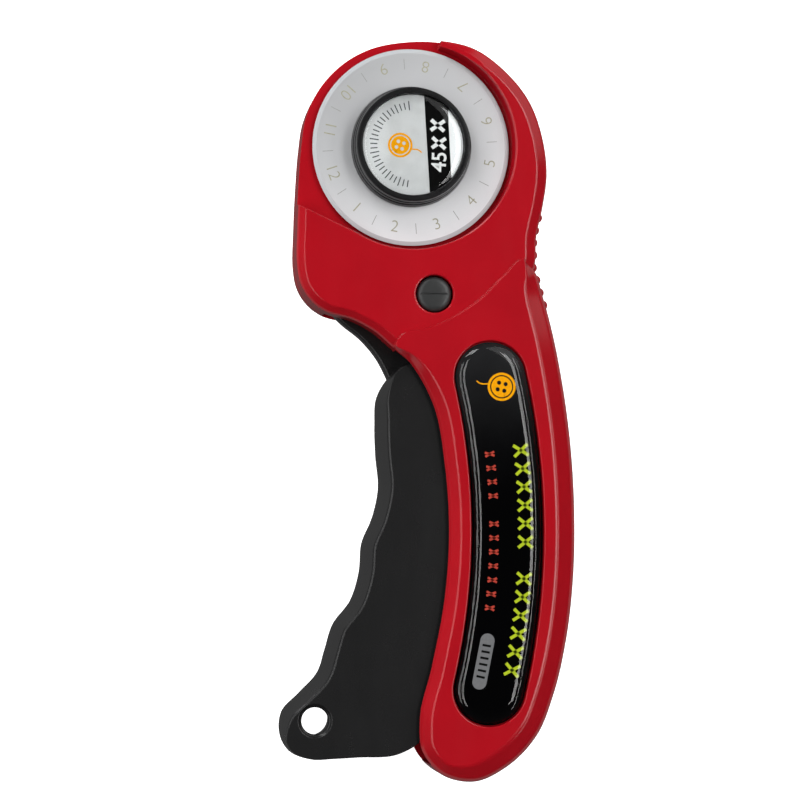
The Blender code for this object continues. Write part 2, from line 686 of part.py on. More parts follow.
def lock_button(shop, finish, axis):
    profile = [
        (0.0, LOCK_TOP), (3.2, LOCK_TOP - 0.15), (LOCK_HEAD, LOCK_TOP - 0.75), (LOCK_HEAD, 13.4),
        (LOCK_NECK, 13.4), (LOCK_NECK, 8.7), (2.6, 8.7), (LOCK_GROOVE, 8.15), (LOCK_TAIL, 7.5),
        (LOCK_TAIL, 5.8), (LOCK_GROOVE, 5.15), (LOCK_TAIL, 4.5), (LOCK_TAIL, LOCK_END + 0.4),
        (2.6, LOCK_END), (0.0, LOCK_END),
    ]
    button = shop.turned("button", profile, LOCK, 24)
    shop.cut(button, shop.box("button_line", (*LOCK, 20.8), (10.0, 0.5, 0.6)))
    return shop.finish(button, "lock_button", finish, axis)


# ---------------------------------------------------------------- blade and hub

def blade(shop, finish, axis):
    high = BLADE_LOW + BLADE_THICK
    middle = BLADE_LOW + BLADE_THICK / 2
    inner = BLADE_RADIUS - BLADE_BEVEL
    profile = [(BLADE_BORE, high), (inner, high), (BLADE_RADIUS, middle), (inner, BLADE_LOW), (BLADE_BORE, BLADE_LOW)]
    return shop.finish(shop.turned("blade_disc", profile, HUB, 72), "blade", finish, axis)


def blade_bushing(shop, finish, pivot):
    made = shop.ring("bushing", HUB, BLADE_BORE - 0.08, BOLT_RADIUS + FIT, BLADE_LOW - 0.15, CAP_LOW - 0.15)
    return shop.finish(made, "blade_bushing", finish, pivot)


def hub_bolt(shop, finish, pivot):
    shank = shop.slab("shank", double_d(BOLT_RADIUS, BOLT_FLAT), 1.2, 19.5)
    shop.add(shank, shop.cylinder("bolt_head", HUB, 5.0, 18.6, 20.3, 6))
    return shop.finish(shank, "hub_bolt", finish, pivot)


def hub_cap(shop, finish, pivot):
    profile = [
        (0.0, 21.1), (11.75, 21.1), (11.75, 22.5), (12.1, CAP_TOP), (12.8, CAP_TOP), (CAP_RADIUS, 22.2),
        (CAP_RADIUS, 19.2), (14.0, 18.9), (14.0, 18.2), (13.8, CAP_LOW), (5.6, CAP_LOW), (5.6, 20.6), (0.0, 20.6),
    ]
    return shop.finish(shop.turned("cap", profile, HUB, 48), "hub_cap", finish, pivot)


def hub_badge(shop, finish, pivot):
    return shop.finish(shop.cylinder("badge", HUB, 11.5, 21.25, 21.6, 40), "hub_badge", finish, pivot)


def hub_lens(shop, finish, pivot):
    rim = 11.5
    crown = 1.0
    profile = [(rim * math.sin(math.radians(a)), 22.3 + crown * math.cos(math.radians(a))) for a in (0, 20, 40, 60, 80)]
    profile += [(rim, 22.3), (rim, 21.8), (0.0, 21.8)]
    profile[0] = (0.0, 22.3 + crown)
    return shop.finish(shop.turned("lens", profile, HUB, 40), "hub_lens", finish, pivot)


def spring_washer(shop, finish, axis):
    profile = [(3.2, 5.7), (5.6, 5.4), (5.6, 5.0), (3.2, 5.3)]
    return shop.finish(shop.turned("washer", profile, HUB, 32), "spring_washer", finish, axis)


def nut_knob(shop, finish, axis):
    count = 14
    outline = []
    for k in range(count * 4):
        angle = math.tau * k / (count * 4)
        radius = NUT_RADIUS - 0.45 + 0.45 * math.cos(angle * count)
        outline.append((radius * math.cos(angle), radius * math.sin(angle)))
    knob = shop.slab("knob", outline, 0.0, 4.2)
    shop.round_rim(knob, 0.0, 0.8, 1)
    shop.add(knob, shop.cylinder("knob_hub", HUB, 5.6, 1.0, NUT_TOP, 32))
    shop.cut(knob, shop.cylinder("insert_seat", HUB, 4.5, 0.6, 8.0, 6))
    shop.cut(knob, shop.cylinder("bolt_window", HUB, 3.0, -2.0, 2.0, 24))
    shop.cut(knob, shop.ring("knob_groove", HUB, 9.0, 6.6, -1.0, 0.6, 40))
    return shop.finish(knob, "nut_knob", finish, axis)


def nut_insert(shop, finish, axis):
    insert = shop.cylinder("insert", HUB, 4.25, 0.85, NUT_TOP, 6)
    shop.cut(insert, shop.cylinder("insert_bore", HUB, BOLT_RADIUS + 0.15, -2.0, 8.0, 24))
    return shop.finish(insert, "nut_insert", finish, axis)


# ---------------------------------------------------------------- inlay

def label_plate(shop, finish):
    plate = shop.slab("plate", band(label_path(), LABEL_HALF - LABEL_GAP), POCKET_FLOOR + 0.2, POCKET_FLOOR + 0.7)
    return shop.finish(plate, "label_plate", finish)


def label_dome(shop, finish):
    low = POCKET_FLOOR + 0.9
    dome = shop.slab("dome", band(label_path(), LABEL_HALF - LABEL_GAP), low, DOME_TOP)
    shop.round_rim(dome, DOME_TOP, DOME_ROUND, 3)
    return shop.finish(dome, "label_dome", finish)


def main():
    tidy_scene()
    shop = Workshop()
    red = material("red_shell", RED, 0.3)
    black = material("black_lever", BLACK, 0.45)
    grey = material("grey_button", CHARCOAL, 0.35)
    gloss = material("black_gloss", BLACK, 0.15)
    steel = material("plain_steel", STEEL, 0.3, 1.0)
    blade_steel = material("blade_steel", BRIGHT, 0.25, 1.0)
    silver = material("silver_badge", BRIGHT, 0.4, 0.3)
    brass = material("brass_insert", BRASS, 0.3, 1.0)
    clear = material("clear_dome", CLEAR, 0.05, 0.0, 0.35)

    pivot = shop.axis("lever_axis", (*PIVOT, 0.0))
    blade_axis = shop.axis("blade_axis", (*HUB, 0.0), pivot)
    nut_axis = shop.axis("nut_axis", (*HUB, 0.0), pivot)
    lock_axis = shop.axis("lock_axis", (*LOCK, 0.0))
    bpy.context.view_layer.update()

    front_shell(shop, red)
    back_shell(shop, red)
    label_plate(shop, gloss)
    label_dome(shop, clear)
    shell_screws(shop, steel)
    pivot_pin(shop, steel)
    return_spring(shop, steel)
    detent_wire(shop, steel)
    lock_button(shop, grey, lock_axis)
    trigger_lever(shop, black, pivot)
    hub_bolt(shop, steel, pivot)
    blade_bushing(shop, steel, pivot)
    hub_cap(shop, gloss, pivot)
    hub_badge(shop, silver, pivot)
    hub_lens(shop, clear, pivot)
    blade(shop, blade_steel, blade_axis)
    spring_washer(shop, steel, nut_axis)
    nut_knob(shop, gloss, nut_axis)
    nut_insert(shop, brass, nut_axis)


main()
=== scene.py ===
"""Rotary cutter: the visual model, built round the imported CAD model.

Plan sizes are in millimetres from the blade's axis, +X right, +Y towards the head, +Z up from
the surface that the cutter lies on.
"""
import math

import bmesh
import bpy
from mathutils import Matrix, Vector


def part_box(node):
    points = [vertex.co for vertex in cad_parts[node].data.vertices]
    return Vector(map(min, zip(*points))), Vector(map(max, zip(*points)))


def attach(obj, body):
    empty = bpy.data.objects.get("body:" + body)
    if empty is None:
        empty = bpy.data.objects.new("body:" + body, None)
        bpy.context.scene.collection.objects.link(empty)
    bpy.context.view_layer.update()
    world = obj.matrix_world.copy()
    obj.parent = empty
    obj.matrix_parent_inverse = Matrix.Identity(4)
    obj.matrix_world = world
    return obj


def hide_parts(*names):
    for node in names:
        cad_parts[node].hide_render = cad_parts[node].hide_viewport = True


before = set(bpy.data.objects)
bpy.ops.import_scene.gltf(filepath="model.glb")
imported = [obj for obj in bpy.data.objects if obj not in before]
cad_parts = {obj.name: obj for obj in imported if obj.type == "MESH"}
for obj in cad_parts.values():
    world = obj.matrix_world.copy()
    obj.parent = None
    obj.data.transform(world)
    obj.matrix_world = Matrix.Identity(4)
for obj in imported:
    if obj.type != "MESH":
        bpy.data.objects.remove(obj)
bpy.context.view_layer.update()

MM = 0.001
HUB = (0.0, 0.0)
blade_low, blade_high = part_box("blade")
HUB_WORLD = (blade_low + blade_high) / 2
TO_WORLD = Matrix.Translation((HUB_WORLD.x, HUB_WORLD.y, 0.0)) @ Matrix.Scale(MM, 4)

PIVOT = (-14.5, -27.5)
LOCK = (5.0, -33.7)
KNOB_RADIUS = 11.5
SCALLOP = 0.45
HANG_HOLE = (-21.7, -129.8)
HANDLE_TOP = 22.0
HEAD_FACE = 21.0
HEAD_BACK = 5.0
PARTING = 11.0
SEAM = 0.15
RECESS_FLOOR = 16.5
RECESS_RADIUS = 23.3
SLOT_HALF = 6.5
SQUEEZE = 12.0
SWING_SPARE = 0.6
PATH_STEPS = 12
STEP = 0.8
BLADE_TOP = 17.7
BLADE_RADIUS = 22.5
BLADE_BEVEL = 0.9
CAP_TOP = 22.9
BADGE_RADIUS = 11.5
BADGE_FACE = 21.56
POCKET_FLOOR = 20.6
LABEL_HALF = 8.3
LABEL_GAP = 0.3
LABEL_FACE = 21.3
LABEL_ARC = ((-133.3, -87.0), 154.8, -13.4, 12.85)
LABEL_STEPS = 80
DOME_WIDTH = 3.7
DOME_HEIGHT = 2.0
INK = 0.03
CREASE_SHARE = 0.14
LEVER_SIDE_SHARE = 0.56
HEAD_LEFT_SHARE = 0.66
CAMERA_TARGET = (-2.5, -57.6, 17.5)
CAMERA_DISTANCE = 0.62
CAMERA_LENS = 123.2
CAMERA_SIDE = 7.0
CAMERA_FOOT = 3.0
SKY_NADIR = 0.08
SKY_SKIRT = 0.7
SKY_HORIZON = 0.07
SKY_ZENITH = 0.02
FLOOR_GLOW = 1.0
# Each screw's place, and the height of the seat under its head.
SCREWS = [
    (14.0, -139.8, 4.0), (31.0, -86.0, 4.0), (25.8, -40.0, 4.0), (-15.5, 13.5, 7.0), (26.2, -4.0, 7.0),
]
RIB_COUNT = 8
RIB_PITCH = 2.87
RIB_RADIUS = 1.15


# ---------------------------------------------------------------- plan outlines

def on_circle(centre, radius, bearing):
    """The place at a bearing, in degrees, on a circle."""
    angle = math.radians(bearing)
    return (centre[0] + radius * math.cos(angle), centre[1] + radius * math.sin(angle))


def arc(centre, radius, start, end, count):
    """Points on an arc from one angle to another, in degrees, both ends included."""
    return [on_circle(centre, radius, start + (end - start) * i / count) for i in range(count + 1)]


def smooth_run(points, closed=True, step=STEP):
    """A smooth run through the points, with about one vertex every step."""
    count = len(points)
    spots = [Vector(p) for p in points]
    slopes = []
    for i in range(count):
        before = spots[i] - spots[i - 1]
        after = spots[(i + 1) % count] - spots[i]
        if not closed and i == 0:
            before = after
        if not closed and i == count - 1:
            after = before
        d0 = before.length
        d1 = after.length
        slopes.append((after / d1 * d0 + before / d0 * d1) / (d0 + d1))
    run = []
    for i in range(count if closed else count - 1):
        a = spots[i]
        b = spots[(i + 1) % count]
        length = (b - a).length
        pieces = max(1, round(length / step))
        for k in range(pieces):
            t = k / pieces
            h00 = 2 * t**3 - 3 * t**2 + 1
            h10 = t**3 - 2 * t**2 + t
            h01 = 3 * t**2 - 2 * t**3
            h11 = t**3 - t**2
            spot = a * h00 + slopes[i] * length * h10 + b * h01 + slopes[(i + 1) % count] * length * h11
            run.append((spot.x, spot.y))
    if not closed:
        run.append(points[-1])
    return run


def band(path, half, end_steps=24):
    """The outline of a band of constant width along a path, with round ends."""
    spots = [Vector(p) for p in path]
    headings = []
    for i in range(len(spots)):
        ahead = spots[min(i + 1, len(spots) - 1)] - spots[max(i - 1, 0)]
        headings.append(math.degrees(math.atan2(ahead.y, ahead.x)))
    right = [on_circle(p, half, h - 90) for p, h in zip(path, headings)]
    left = [on_circle(p, half, h + 90) for p, h in zip(path, headings)]
    far_end = arc(path[-1], half, headings[-1] - 90, headings[-1] + 90, end_steps)[1:-1]
    near_end = arc(path[0], half, headings[0] + 90, headings[0] + 270, end_steps)[1:-1]
    return right + far_end + left[::-1] + near_end


def swing_path(point):
    """The path of a point of the lever as it swings, with a little to spare at both ends."""
    reach = Vector(point) - Vector(PIVOT)
    start = math.degrees(math.atan2(reach.y, reach.x))
    return arc(PIVOT, reach.length, start - SWING_SPARE, start + SQUEEZE + SWING_SPARE, PATH_STEPS)


def lock_path():
    """The button's path as the lever sees it: it runs backwards round the pivot."""
    reach = Vector(LOCK) - Vector(PIVOT)
    start = math.degrees(math.atan2(reach.y, reach.x))
    return arc(PIVOT, reach.length, start, start - SQUEEZE, PATH_STEPS)


def head_outline():
    left = [(-26.0, -18.0), (-25.6, -9.0)]
    guard = arc((-0.3, -0.4), 24.6, 178, 112, 5)
    top = [(-1.0, 24.3), (6.5, 24.4), (14.2, 22.8), (21.2, 18.0), (27.0, 11.0), (30.2, 2.2)]
    right = [(31.1, -6.0), (30.1, -13.5), (28.6, -20.5), (28.3, -26.5)]
    inside = [(25.5, -33.0), (21.0, -41.0), (10.0, -48.0), (2.0, -49.5)]
    under = [(-3.2, -46.6), (-8.8, -42.0), (-13.6, -39.5)]
    bulge = arc(PIVOT, 11.5, 243, 184, 5)
    return smooth_run(left + guard + top + right + inside + under + bulge)


def handle_outline():
    crease = [(-2.6, -42.9), (3.2, -41.3), (9.5, -38.4), (15.3, -34.2), (20.6, -28.9), (25.4, -25.3)]
    spine = [(28.3, -28.0), (30.2, -33.6), (32.4, -41.8), (34.7, -53.5), (36.5, -67.0)]
    outer = [(37.4, -83.0), (37.1, -97.5), (35.3, -112.5), (32.6, -123.8), (28.5, -133.6)]
    foot = [(21.9, -140.3), (14.2, -143.7), (6.8, -142.0), (2.2, -136.6)]
    inner = [(1.6, -130.0), (4.4, -117.6), (7.2, -103.0), (8.3, -88.0), (7.4, -72.8), (4.6, -58.4)]
    shoulder = [(-0.6, -49.2), (-4.2, -45.2)]
    return smooth_run(crease + spine + outer + foot + inner + shoulder)


def handle_cavity_outline():
    """The deep hollow of the handle, open on the lever's side."""
    top = [(-4.0, -46.6), (3.0, -44.0), (12.0, -43.4), (24.0, -44.5)]
    outer = [(30.6, -49.0), (33.4, -62.0), (34.7, -84.0), (34.3, -98.0), (32.4, -112.5), (29.6, -124.0)]
    foot = [(26.0, -132.6), (20.2, -138.6), (13.2, -141.2), (8.0, -139.8)]
    mouth = [(-2.0, -139.6), (-40.0, -141.5), (-42.0, -90.0), (-20.0, -53.0)]
    return smooth_run(top + outer + foot, False, 2.0) + mouth


def head_cavity_outline():
    """The shallow hollow of the head, with the arm's way out under the pivot."""
    left = [(-23.4, -18.0), (-23.1, -8.0)]
    guard = arc(HUB, 22.4, 178, 112, 5)
    right = [(2.0, 22.4), (12.0, 20.6), (19.5, 15.4), (24.6, 8.6), (27.6, 0.0), (28.2, -8.0)]
    spine = [(26.2, -18.0), (25.4, -26.5), (22.0, -36.0)]
    wall = smooth_run(left + guard + right + spine, False, 2.0)
    way_out = [(20.0, -46.5), (4.0, -52.0), (-10.0, -58.0), (-24.0, -52.0), (-19.4, -38.8)]
    return wall + way_out + arc(PIVOT, 8.8, 236, 186, 12)


def recess_outline(radius):
    """The blade's recess: round the blade on the right, and open to the left and the top."""
    wall = arc((0.0, 0.2), radius, 238.5, 434, 150)
    return wall + [(9.4, 40.0), (-44.0, 40.0), (-44.0, -5.4)]


def arm_outline():
    carrier = arc(HUB, 8.4, -10, 190, 16)
    left = [(-10.2, -7.0), (-15.0, -15.0), (-19.6, -21.6)]
    pivot = arc(PIVOT, 6.4, 170, 215, 3)
    strip = [(-18.6, -36.4), (-15.6, -39.8), (-11.0, -43.5), (-7.6, -47.4), (-4.6, -53.0)]
    root = [(-2.0, -60.0), (3.0, -60.0), (4.6, -52.0), (8.4, -45.0)]
    right = [(12.0, -38.6), (12.6, -31.0), (10.2, -20.0), (8.4, -9.0)]
    return smooth_run(carrier + left + pivot + strip + root + right)


def grip_outline():
    corner = [(-1.0, -49.4), (-5.0, -52.9), (-7.1, -56.6)]
    grooves = [(-7.6, -63.0), (-7.4, -70.0), (-6.8, -77.6), (-8.2, -84.2), (-10.6, -90.0), (-11.2, -96.6)]
    low_groove = [(-13.2, -103.0), (-17.2, -108.4), (-19.0, -114.0), (-20.6, -119.0), (-24.9, -123.8)]
    toe = [(-28.8, -128.0), (-29.3, -132.4), (-27.2, -136.8), (-22.6, -138.7)]
    foot = [(-17.0, -138.65), (-12.0, -138.4), (-2.6, -137.7), (2.4, -134.8), (5.4, -128.0)]
    inside = [(9.2, -112.5), (12.0, -98.0), (12.8, -85.0), (12.0, -72.0), (9.6, -60.0), (6.4, -53.2)]
    return smooth_run(corner + grooves + low_groove + toe + foot + inside + [(2.8, -49.8)])


def label_path():
    centre, radius, start, end = LABEL_ARC
    return arc(centre, radius, start, end, LABEL_STEPS)


def along_label(t, across):
    """A place on the label and its heading: t from 0 at the foot to 1 at the top."""
    centre, radius, start, end = LABEL_ARC
    angle = start + (end - start) * t
    return on_circle(centre, radius + across, angle), angle + 90.0


def double_d(radius, flat):
    """A round outline with two flats, at the top and at the bottom."""
    corner = math.degrees(math.acos(flat / radius))
    right = arc(HUB, radius, -90 + corner, 90 - corner, 16)
    left = arc(HUB, radius, 90 + corner, 270 - corner, 16)
    return right + left


# ---------------------------------------------------------------- solids

def counter_clockwise(outline):
    area = sum(a[0] * b[1] - b[0] * a[1] for a, b in zip(outline, outline[1:] + outline[:1]))
    return outline if area > 0 else outline[::-1]


def fade(value, start, width):
    """From 0 at the start to 1 a width further on."""
    return min(1.0, max(0.0, (value - start) / width))


def near_crease(x, y):
    """A small share on the handle's crease across the head, and 1 well away from it."""
    above = fade(y + 0.25 * x, -52.0, 9.0)
    inside = fade(-x, -28.6, 4.0)
    return 1.0 - (1.0 - CREASE_SHARE) * above * inside


def handle_share(x, y):
    """The handle's edge is drawn in less on the lever's side, and hardly at all on the crease."""
    centre, radius, start, end = LABEL_ARC
    outer = math.hypot(x - centre[0], y - centre[1]) - radius
    side = LEVER_SIDE_SHARE + (1.0 - LEVER_SIDE_SHARE) * fade(outer, -5.0, 10.0)
    return side * near_crease(x, y)


def head_share(x, y):
    """The head's edge is drawn in less on the left."""
    return HEAD_LEFT_SHARE + (1.0 - HEAD_LEFT_SHARE) * fade(x, -8.0, 16.0)


def inward(outline, reach, share=None):
    """Each point's way in, shortened where the outline bends too tightly to be drawn in by reach,
    and by the share that a function gives for its place."""
    count = len(outline)
    spots = [Vector(p) for p in outline]
    ways = []
    limits = []
    for i in range(count):
        back = spots[i] - spots[i - 1]
        ahead = spots[(i + 1) % count] - spots[i]
        tangent = (back.normalized() + ahead.normalized()).normalized()
        ways.append(Vector((-tangent.y, tangent.x)))
        turn = math.atan2(back.x * ahead.y - back.y * ahead.x, back.dot(ahead))
        length = (back.length + ahead.length) / 2
        limits.append(min(1.0, 0.8 * length / turn / reach) if turn > 0.001 and reach > 0.0 else 1.0)
    if share is not None:
        limits = [limit * share(x, y) for limit, (x, y) in zip(limits, outline)]
    for i in range(40):
        limits = [
            min(here, (limits[k - 1] + here + limits[(k + 1) % count]) / 3)
            for k, here in enumerate(limits)
        ]
    return [way * limit for way, limit in zip(ways, limits)]


def new_object(name, mesh):
    made = bpy.data.objects.new(name, mesh)
    bpy.context.scene.collection.objects.link(made)
    return made


def solid_from(name, verts, faces):
    """A mesh object from plan places; it is moved to its place in the world."""
    mesh = bpy.data.meshes.new(name)
    work = bmesh.new()
    spots = [work.verts.new(v) for v in verts]
    for face in faces:
        work.faces.new([spots[i] for i in face])
    bmesh.ops.recalc_face_normals(work, faces=work.faces)
    work.to_mesh(mesh)
    work.free()
    mesh.transform(TO_WORLD)
    return new_object(name, mesh)


def loft(name, levels):
    """A solid through (outline, height) levels that have the same number of points."""
    count = len(levels[0][0])
    verts = [(x, y, height) for outline, height in levels for x, y in outline]
    faces = [list(range(count)), list(range(len(verts) - 1, len(verts) - count - 1, -1))]
    for level in range(len(levels) - 1):
        for i in range(count):
            j = (i + 1) % count
            top = level * count
            faces.append([top + i, top + j, top + count + j, top + count + i])
    return solid_from(name, verts, faces)


def prism(name, outline, profile, share=None):
    """A solid on an outline; the profile is (drawn in by, height), from the top down."""
    outline = counter_clockwise(list(outline))
    ways = inward(outline, max(inset for inset, height in profile), share)
    levels = []
    for inset, height in profile:
        ring = [(x + way.x * inset, y + way.y * inset) for (x, y), way in zip(outline, ways)]
        levels.append((ring, height))
    return loft(name, levels)


def slab(name, outline, low, high):
    return prism(name, outline, [(0.0, high), (0.0, low)])


def shoulder(top, width, radius, slope, steps=7):
    """Profile points for a rounded shoulder, a straight sloping side, and a rounded edge."""
    lean = math.radians(slope)
    run = width - radius
    points = []
    for k in range(steps + 1):
        angle = lean * k / steps
        points.append((width - radius * math.sin(angle), top - radius * (1.0 - math.cos(angle))))
    drop = top - radius * (1.0 - math.cos(lean)) - run * math.tan(lean)
    for k in range(steps + 1):
        angle = lean + (math.pi / 2 - lean) * k / steps
        inset = radius * (1.0 - math.sin(angle))
        points.append((inset, drop - radius * (math.cos(lean) - math.cos(angle))))
    return points


def turned(name, profile, centre=HUB, steps=96):
    """A solid turned about a vertical axis, from (radius, height) down its outer side."""
    closed_top = profile[0][0] == 0.0
    verts = []
    rings = []
    for radius, height in profile:
        if radius == 0.0:
            rings.append([len(verts)])
            verts.append((centre[0], centre[1], height))
        else:
            rings.append(list(range(len(verts), len(verts) + steps)))
            verts += [(x, y, height) for x, y in arc(centre, radius, 0.0, 360.0, steps)[:-1]]
    pairs = list(zip(rings, rings[1:]))
    if not closed_top:
        pairs.append((rings[-1], rings[0]))
    faces = []
    for upper, lower in pairs:
        for i in range(steps):
            j = (i + 1) % steps
            if len(upper) == 1:
                faces.append([upper[0], lower[i], lower[j]])
            elif len(lower) == 1:
                faces.append([upper[i], lower[0], upper[j]])
            else:
                faces.append([upper[i], lower[i], lower[j], upper[j]])
    return solid_from(name, verts, faces)


def cylinder(name, centre, radius, low, high, steps=64):
    return turned(name, [(0.0, high), (radius, high), (radius, low), (0.0, low)], centre, steps)


def box(name, centre, size, turn=0.0):
    mesh = bpy.data.meshes.new(name)
    work = bmesh.new()
    bmesh.ops.create_cube(work, size=1.0)
    work.to_mesh(mesh)
    work.free()
    mesh.transform(Matrix.Diagonal((*size, 1.0)))
    mesh.transform(Matrix.Rotation(math.radians(turn), 4, "Z"))
    mesh.transform(Matrix.Translation(centre))
    mesh.transform(TO_WORLD)
    return new_object(name, mesh)


def bake(made):
    """Applies an object's modifiers."""
    bpy.context.view_layer.update()
    ready = made.evaluated_get(bpy.context.evaluated_depsgraph_get())
    mesh = bpy.data.meshes.new_from_object(ready)
    made.modifiers.clear()
    made.data = mesh


def combine(made, tools, operation):
    for tool in tools:
        step = made.modifiers.new(tool.name, "BOOLEAN")
        step.operation = operation
        step.solver = "EXACT"
        step.object = tool
    bake(made)
    for tool in tools:
        bpy.data.objects.remove(tool, do_unlink=True)


def add(made, *tools):
    combine(made, tools, "UNION")


def cut(made, *tools):
    combine(made, tools, "DIFFERENCE")


def join(name, pieces):
    """One object from several separate ones."""
    mesh = bpy.data.meshes.new(name)
    work = bmesh.new()
    for piece in pieces:
        work.from_mesh(piece.data)
        bpy.data.objects.remove(piece, do_unlink=True)
    work.to_mesh(mesh)
    work.free()
    return new_object(name, mesh)


def finish(made, paint, body, nodes=(), sharp=32.0):
    """Shades a piece, gives it its material, and hangs it on its body."""
    made.data.materials.clear()
    made.data.materials.append(paint)
    for face in made.data.polygons:
        face.material_index = 0
    made.data.shade_smooth()
    made.data.set_sharp_from_angle(angle=math.radians(sharp))
    even = made.modifiers.new("even_shading", "WEIGHTED_NORMAL")
    even.mode = "FACE_AREA"
    even.weight = 100
    even.keep_sharp = True
    bake(made)
    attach(made, body)
    if nodes:
        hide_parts(*nodes)


# ---------------------------------------------------------------- materials

class Paint:
    """Builds one node material, in the object's own coordinates."""

    def __init__(self, name, colour, roughness, metallic=0.0, specular=0.5):
        self.made = bpy.data.materials.new(name)
        self.made.use_nodes = True
        self.tree = self.made.node_tree
        self.shader = self.tree.nodes["Principled BSDF"]
        self.set("Base Color", (*colour, 1.0))
        self.set("Roughness", roughness)
        self.set("Metallic", metallic)
        self.set("Specular IOR Level", specular)
        self.colour = colour
        self.place = self.node("ShaderNodeTexCoord").outputs["Object"]

    def set(self, name, value):
        self.shader.inputs[name].default_value = value

    def node(self, kind, **settings):
        made = self.tree.nodes.new(kind)
        for key, value in settings.items():
            setattr(made, key, value)
        return made

    def link(self, output, entry):
        self.tree.links.new(output, entry)

    def feed(self, output, name):
        self.link(output, self.shader.inputs[name])

    def math(self, operation, a, b=None, c=None):
        made = self.node("ShaderNodeMath", operation=operation)
        for entry, value in zip(made.inputs, (a, b, c)):
            if value is None:
                continue
            if isinstance(value, (int, float)):
                entry.default_value = value
            else:
                self.link(value, entry)
        return made.outputs[0]

    def noise(self, size, detail=4.0, rough=0.55, stretch=(1.0, 1.0, 1.0)):
        """Noise from 0 to 1 with features of a size in millimetres."""
        moved = self.node("ShaderNodeMapping")
        moved.inputs["Scale"].default_value = stretch
        self.link(self.place, moved.inputs["Vector"])
        made = self.node("ShaderNodeTexNoise")
        made.inputs["Scale"].default_value = 1.0 / (size * MM)
        made.inputs["Detail"].default_value = detail
        made.inputs["Roughness"].default_value = rough
        self.link(moved.outputs["Vector"], made.inputs["Vector"])
        return made.outputs[0]

    def radius(self):
        """The distance from the blade's axis, in metres."""
        moved = self.node("ShaderNodeVectorMath", operation="SUBTRACT")
        moved.inputs[1].default_value = (HUB_WORLD.x, HUB_WORLD.y, 0.0)
        self.link(self.place, moved.inputs[0])
        flat = self.node("ShaderNodeVectorMath", operation="MULTIPLY")
        flat.inputs[1].default_value = (1.0, 1.0, 0.0)
        self.link(moved.outputs[0], flat.inputs[0])
        length = self.node("ShaderNodeVectorMath", operation="LENGTH")
        self.link(flat.outputs[0], length.inputs[0])
        return length.outputs["Value"]

    def across(self, x, y, reach):
        """From 0 to 1 over the disc, along the direction (x, y)."""
        dot = self.node("ShaderNodeVectorMath", operation="DOT_PRODUCT")
        dot.inputs[1].default_value = (x, y, 0.0)
        self.link(self.place, dot.inputs[0])
        middle = HUB_WORLD.x * x + HUB_WORLD.y * y
        return self.remap(dot.outputs["Value"], 0.0, 1.0, middle - reach * MM, middle + reach * MM)

    def rings(self, size):
        """Noise that changes only with the distance from the blade's axis."""
        made = self.node("ShaderNodeTexNoise", noise_dimensions="1D")
        made.inputs["Scale"].default_value = 1.0 / (size * MM)
        made.inputs["Detail"].default_value = 3.0
        self.link(self.radius(), made.inputs["W"])
        return made.outputs[0]

    def remap(self, socket, low, high, first=0.3, last=0.7):
        made = self.node("ShaderNodeMapRange")
        made.inputs["From Min"].default_value = first
        made.inputs["From Max"].default_value = last
        made.inputs["To Min"].default_value = low
        made.inputs["To Max"].default_value = high
        self.link(socket, made.inputs["Value"])
        return made.outputs["Result"]

    def mix(self, factor, first, second):
        """A blend of two colours, from the first at factor 0 to the second at 1."""
        made = self.node("ShaderNodeMix", data_type="RGBA")
        self.link(factor, made.inputs["Factor"])
        entries = [entry for entry in made.inputs if entry.type == "RGBA"]
        for entry, value in zip(entries, (first, second)):
            if isinstance(value, tuple):
                entry.default_value = (*value, 1.0)
            else:
                self.link(value, entry)
        return [output for output in made.outputs if output.type == "RGBA"][0]

    def shade(self, factor, low, high):
        """The base colour, multiplied from low to high by a factor."""
        dark = tuple(c * low for c in self.colour)
        light = tuple(c * high for c in self.colour)
        return self.mix(factor, dark, light)

    def bump(self, height, depth, strength, normal=None):
        """Relief of a depth in millimetres."""
        made = self.node("ShaderNodeBump")
        made.inputs["Strength"].default_value = strength
        made.inputs["Distance"].default_value = depth * MM
        self.link(height, made.inputs["Height"])
        if normal is not None:
            self.link(normal, made.inputs["Normal"])
        return made.outputs["Normal"]

    def soft_edges(self, radius):
        made = self.node("ShaderNodeBevel", samples=4)
        made.inputs["Radius"].default_value = radius * MM
        return made.outputs["Normal"]


def moulded(name, colour, roughness, specular, grain=0.35, relief=0.006, edges=0.15, mottle=0.05,
            rub=0.04):
    """Moulded plastic: a faint cloudy colour, a fine grain, and rubbed patches. The grain's size
    and relief and the width of the worn edges are in millimetres."""
    paint = Paint(name, colour, roughness, 0.0, specular)
    cloud = paint.noise(14.0, 3.0)
    fine = paint.noise(grain, 3.0, 0.6)
    flow = paint.noise(4.0, 2.0, 0.5, (1.0, 0.25, 1.0))
    paint.feed(paint.shade(paint.remap(cloud, 0.0, 1.0), 1.0 - mottle, 1.0 + mottle), "Base Color")
    rubbed = paint.remap(flow, roughness - rub, roughness + rub)
    paint.feed(paint.math("ADD", rubbed, paint.remap(fine, -rub * 0.6, rub * 0.6)), "Roughness")
    waves = paint.bump(cloud, 0.03, 0.5, paint.soft_edges(edges))
    paint.feed(paint.bump(fine, relief, 0.6, waves), "Normal")
    return paint.made


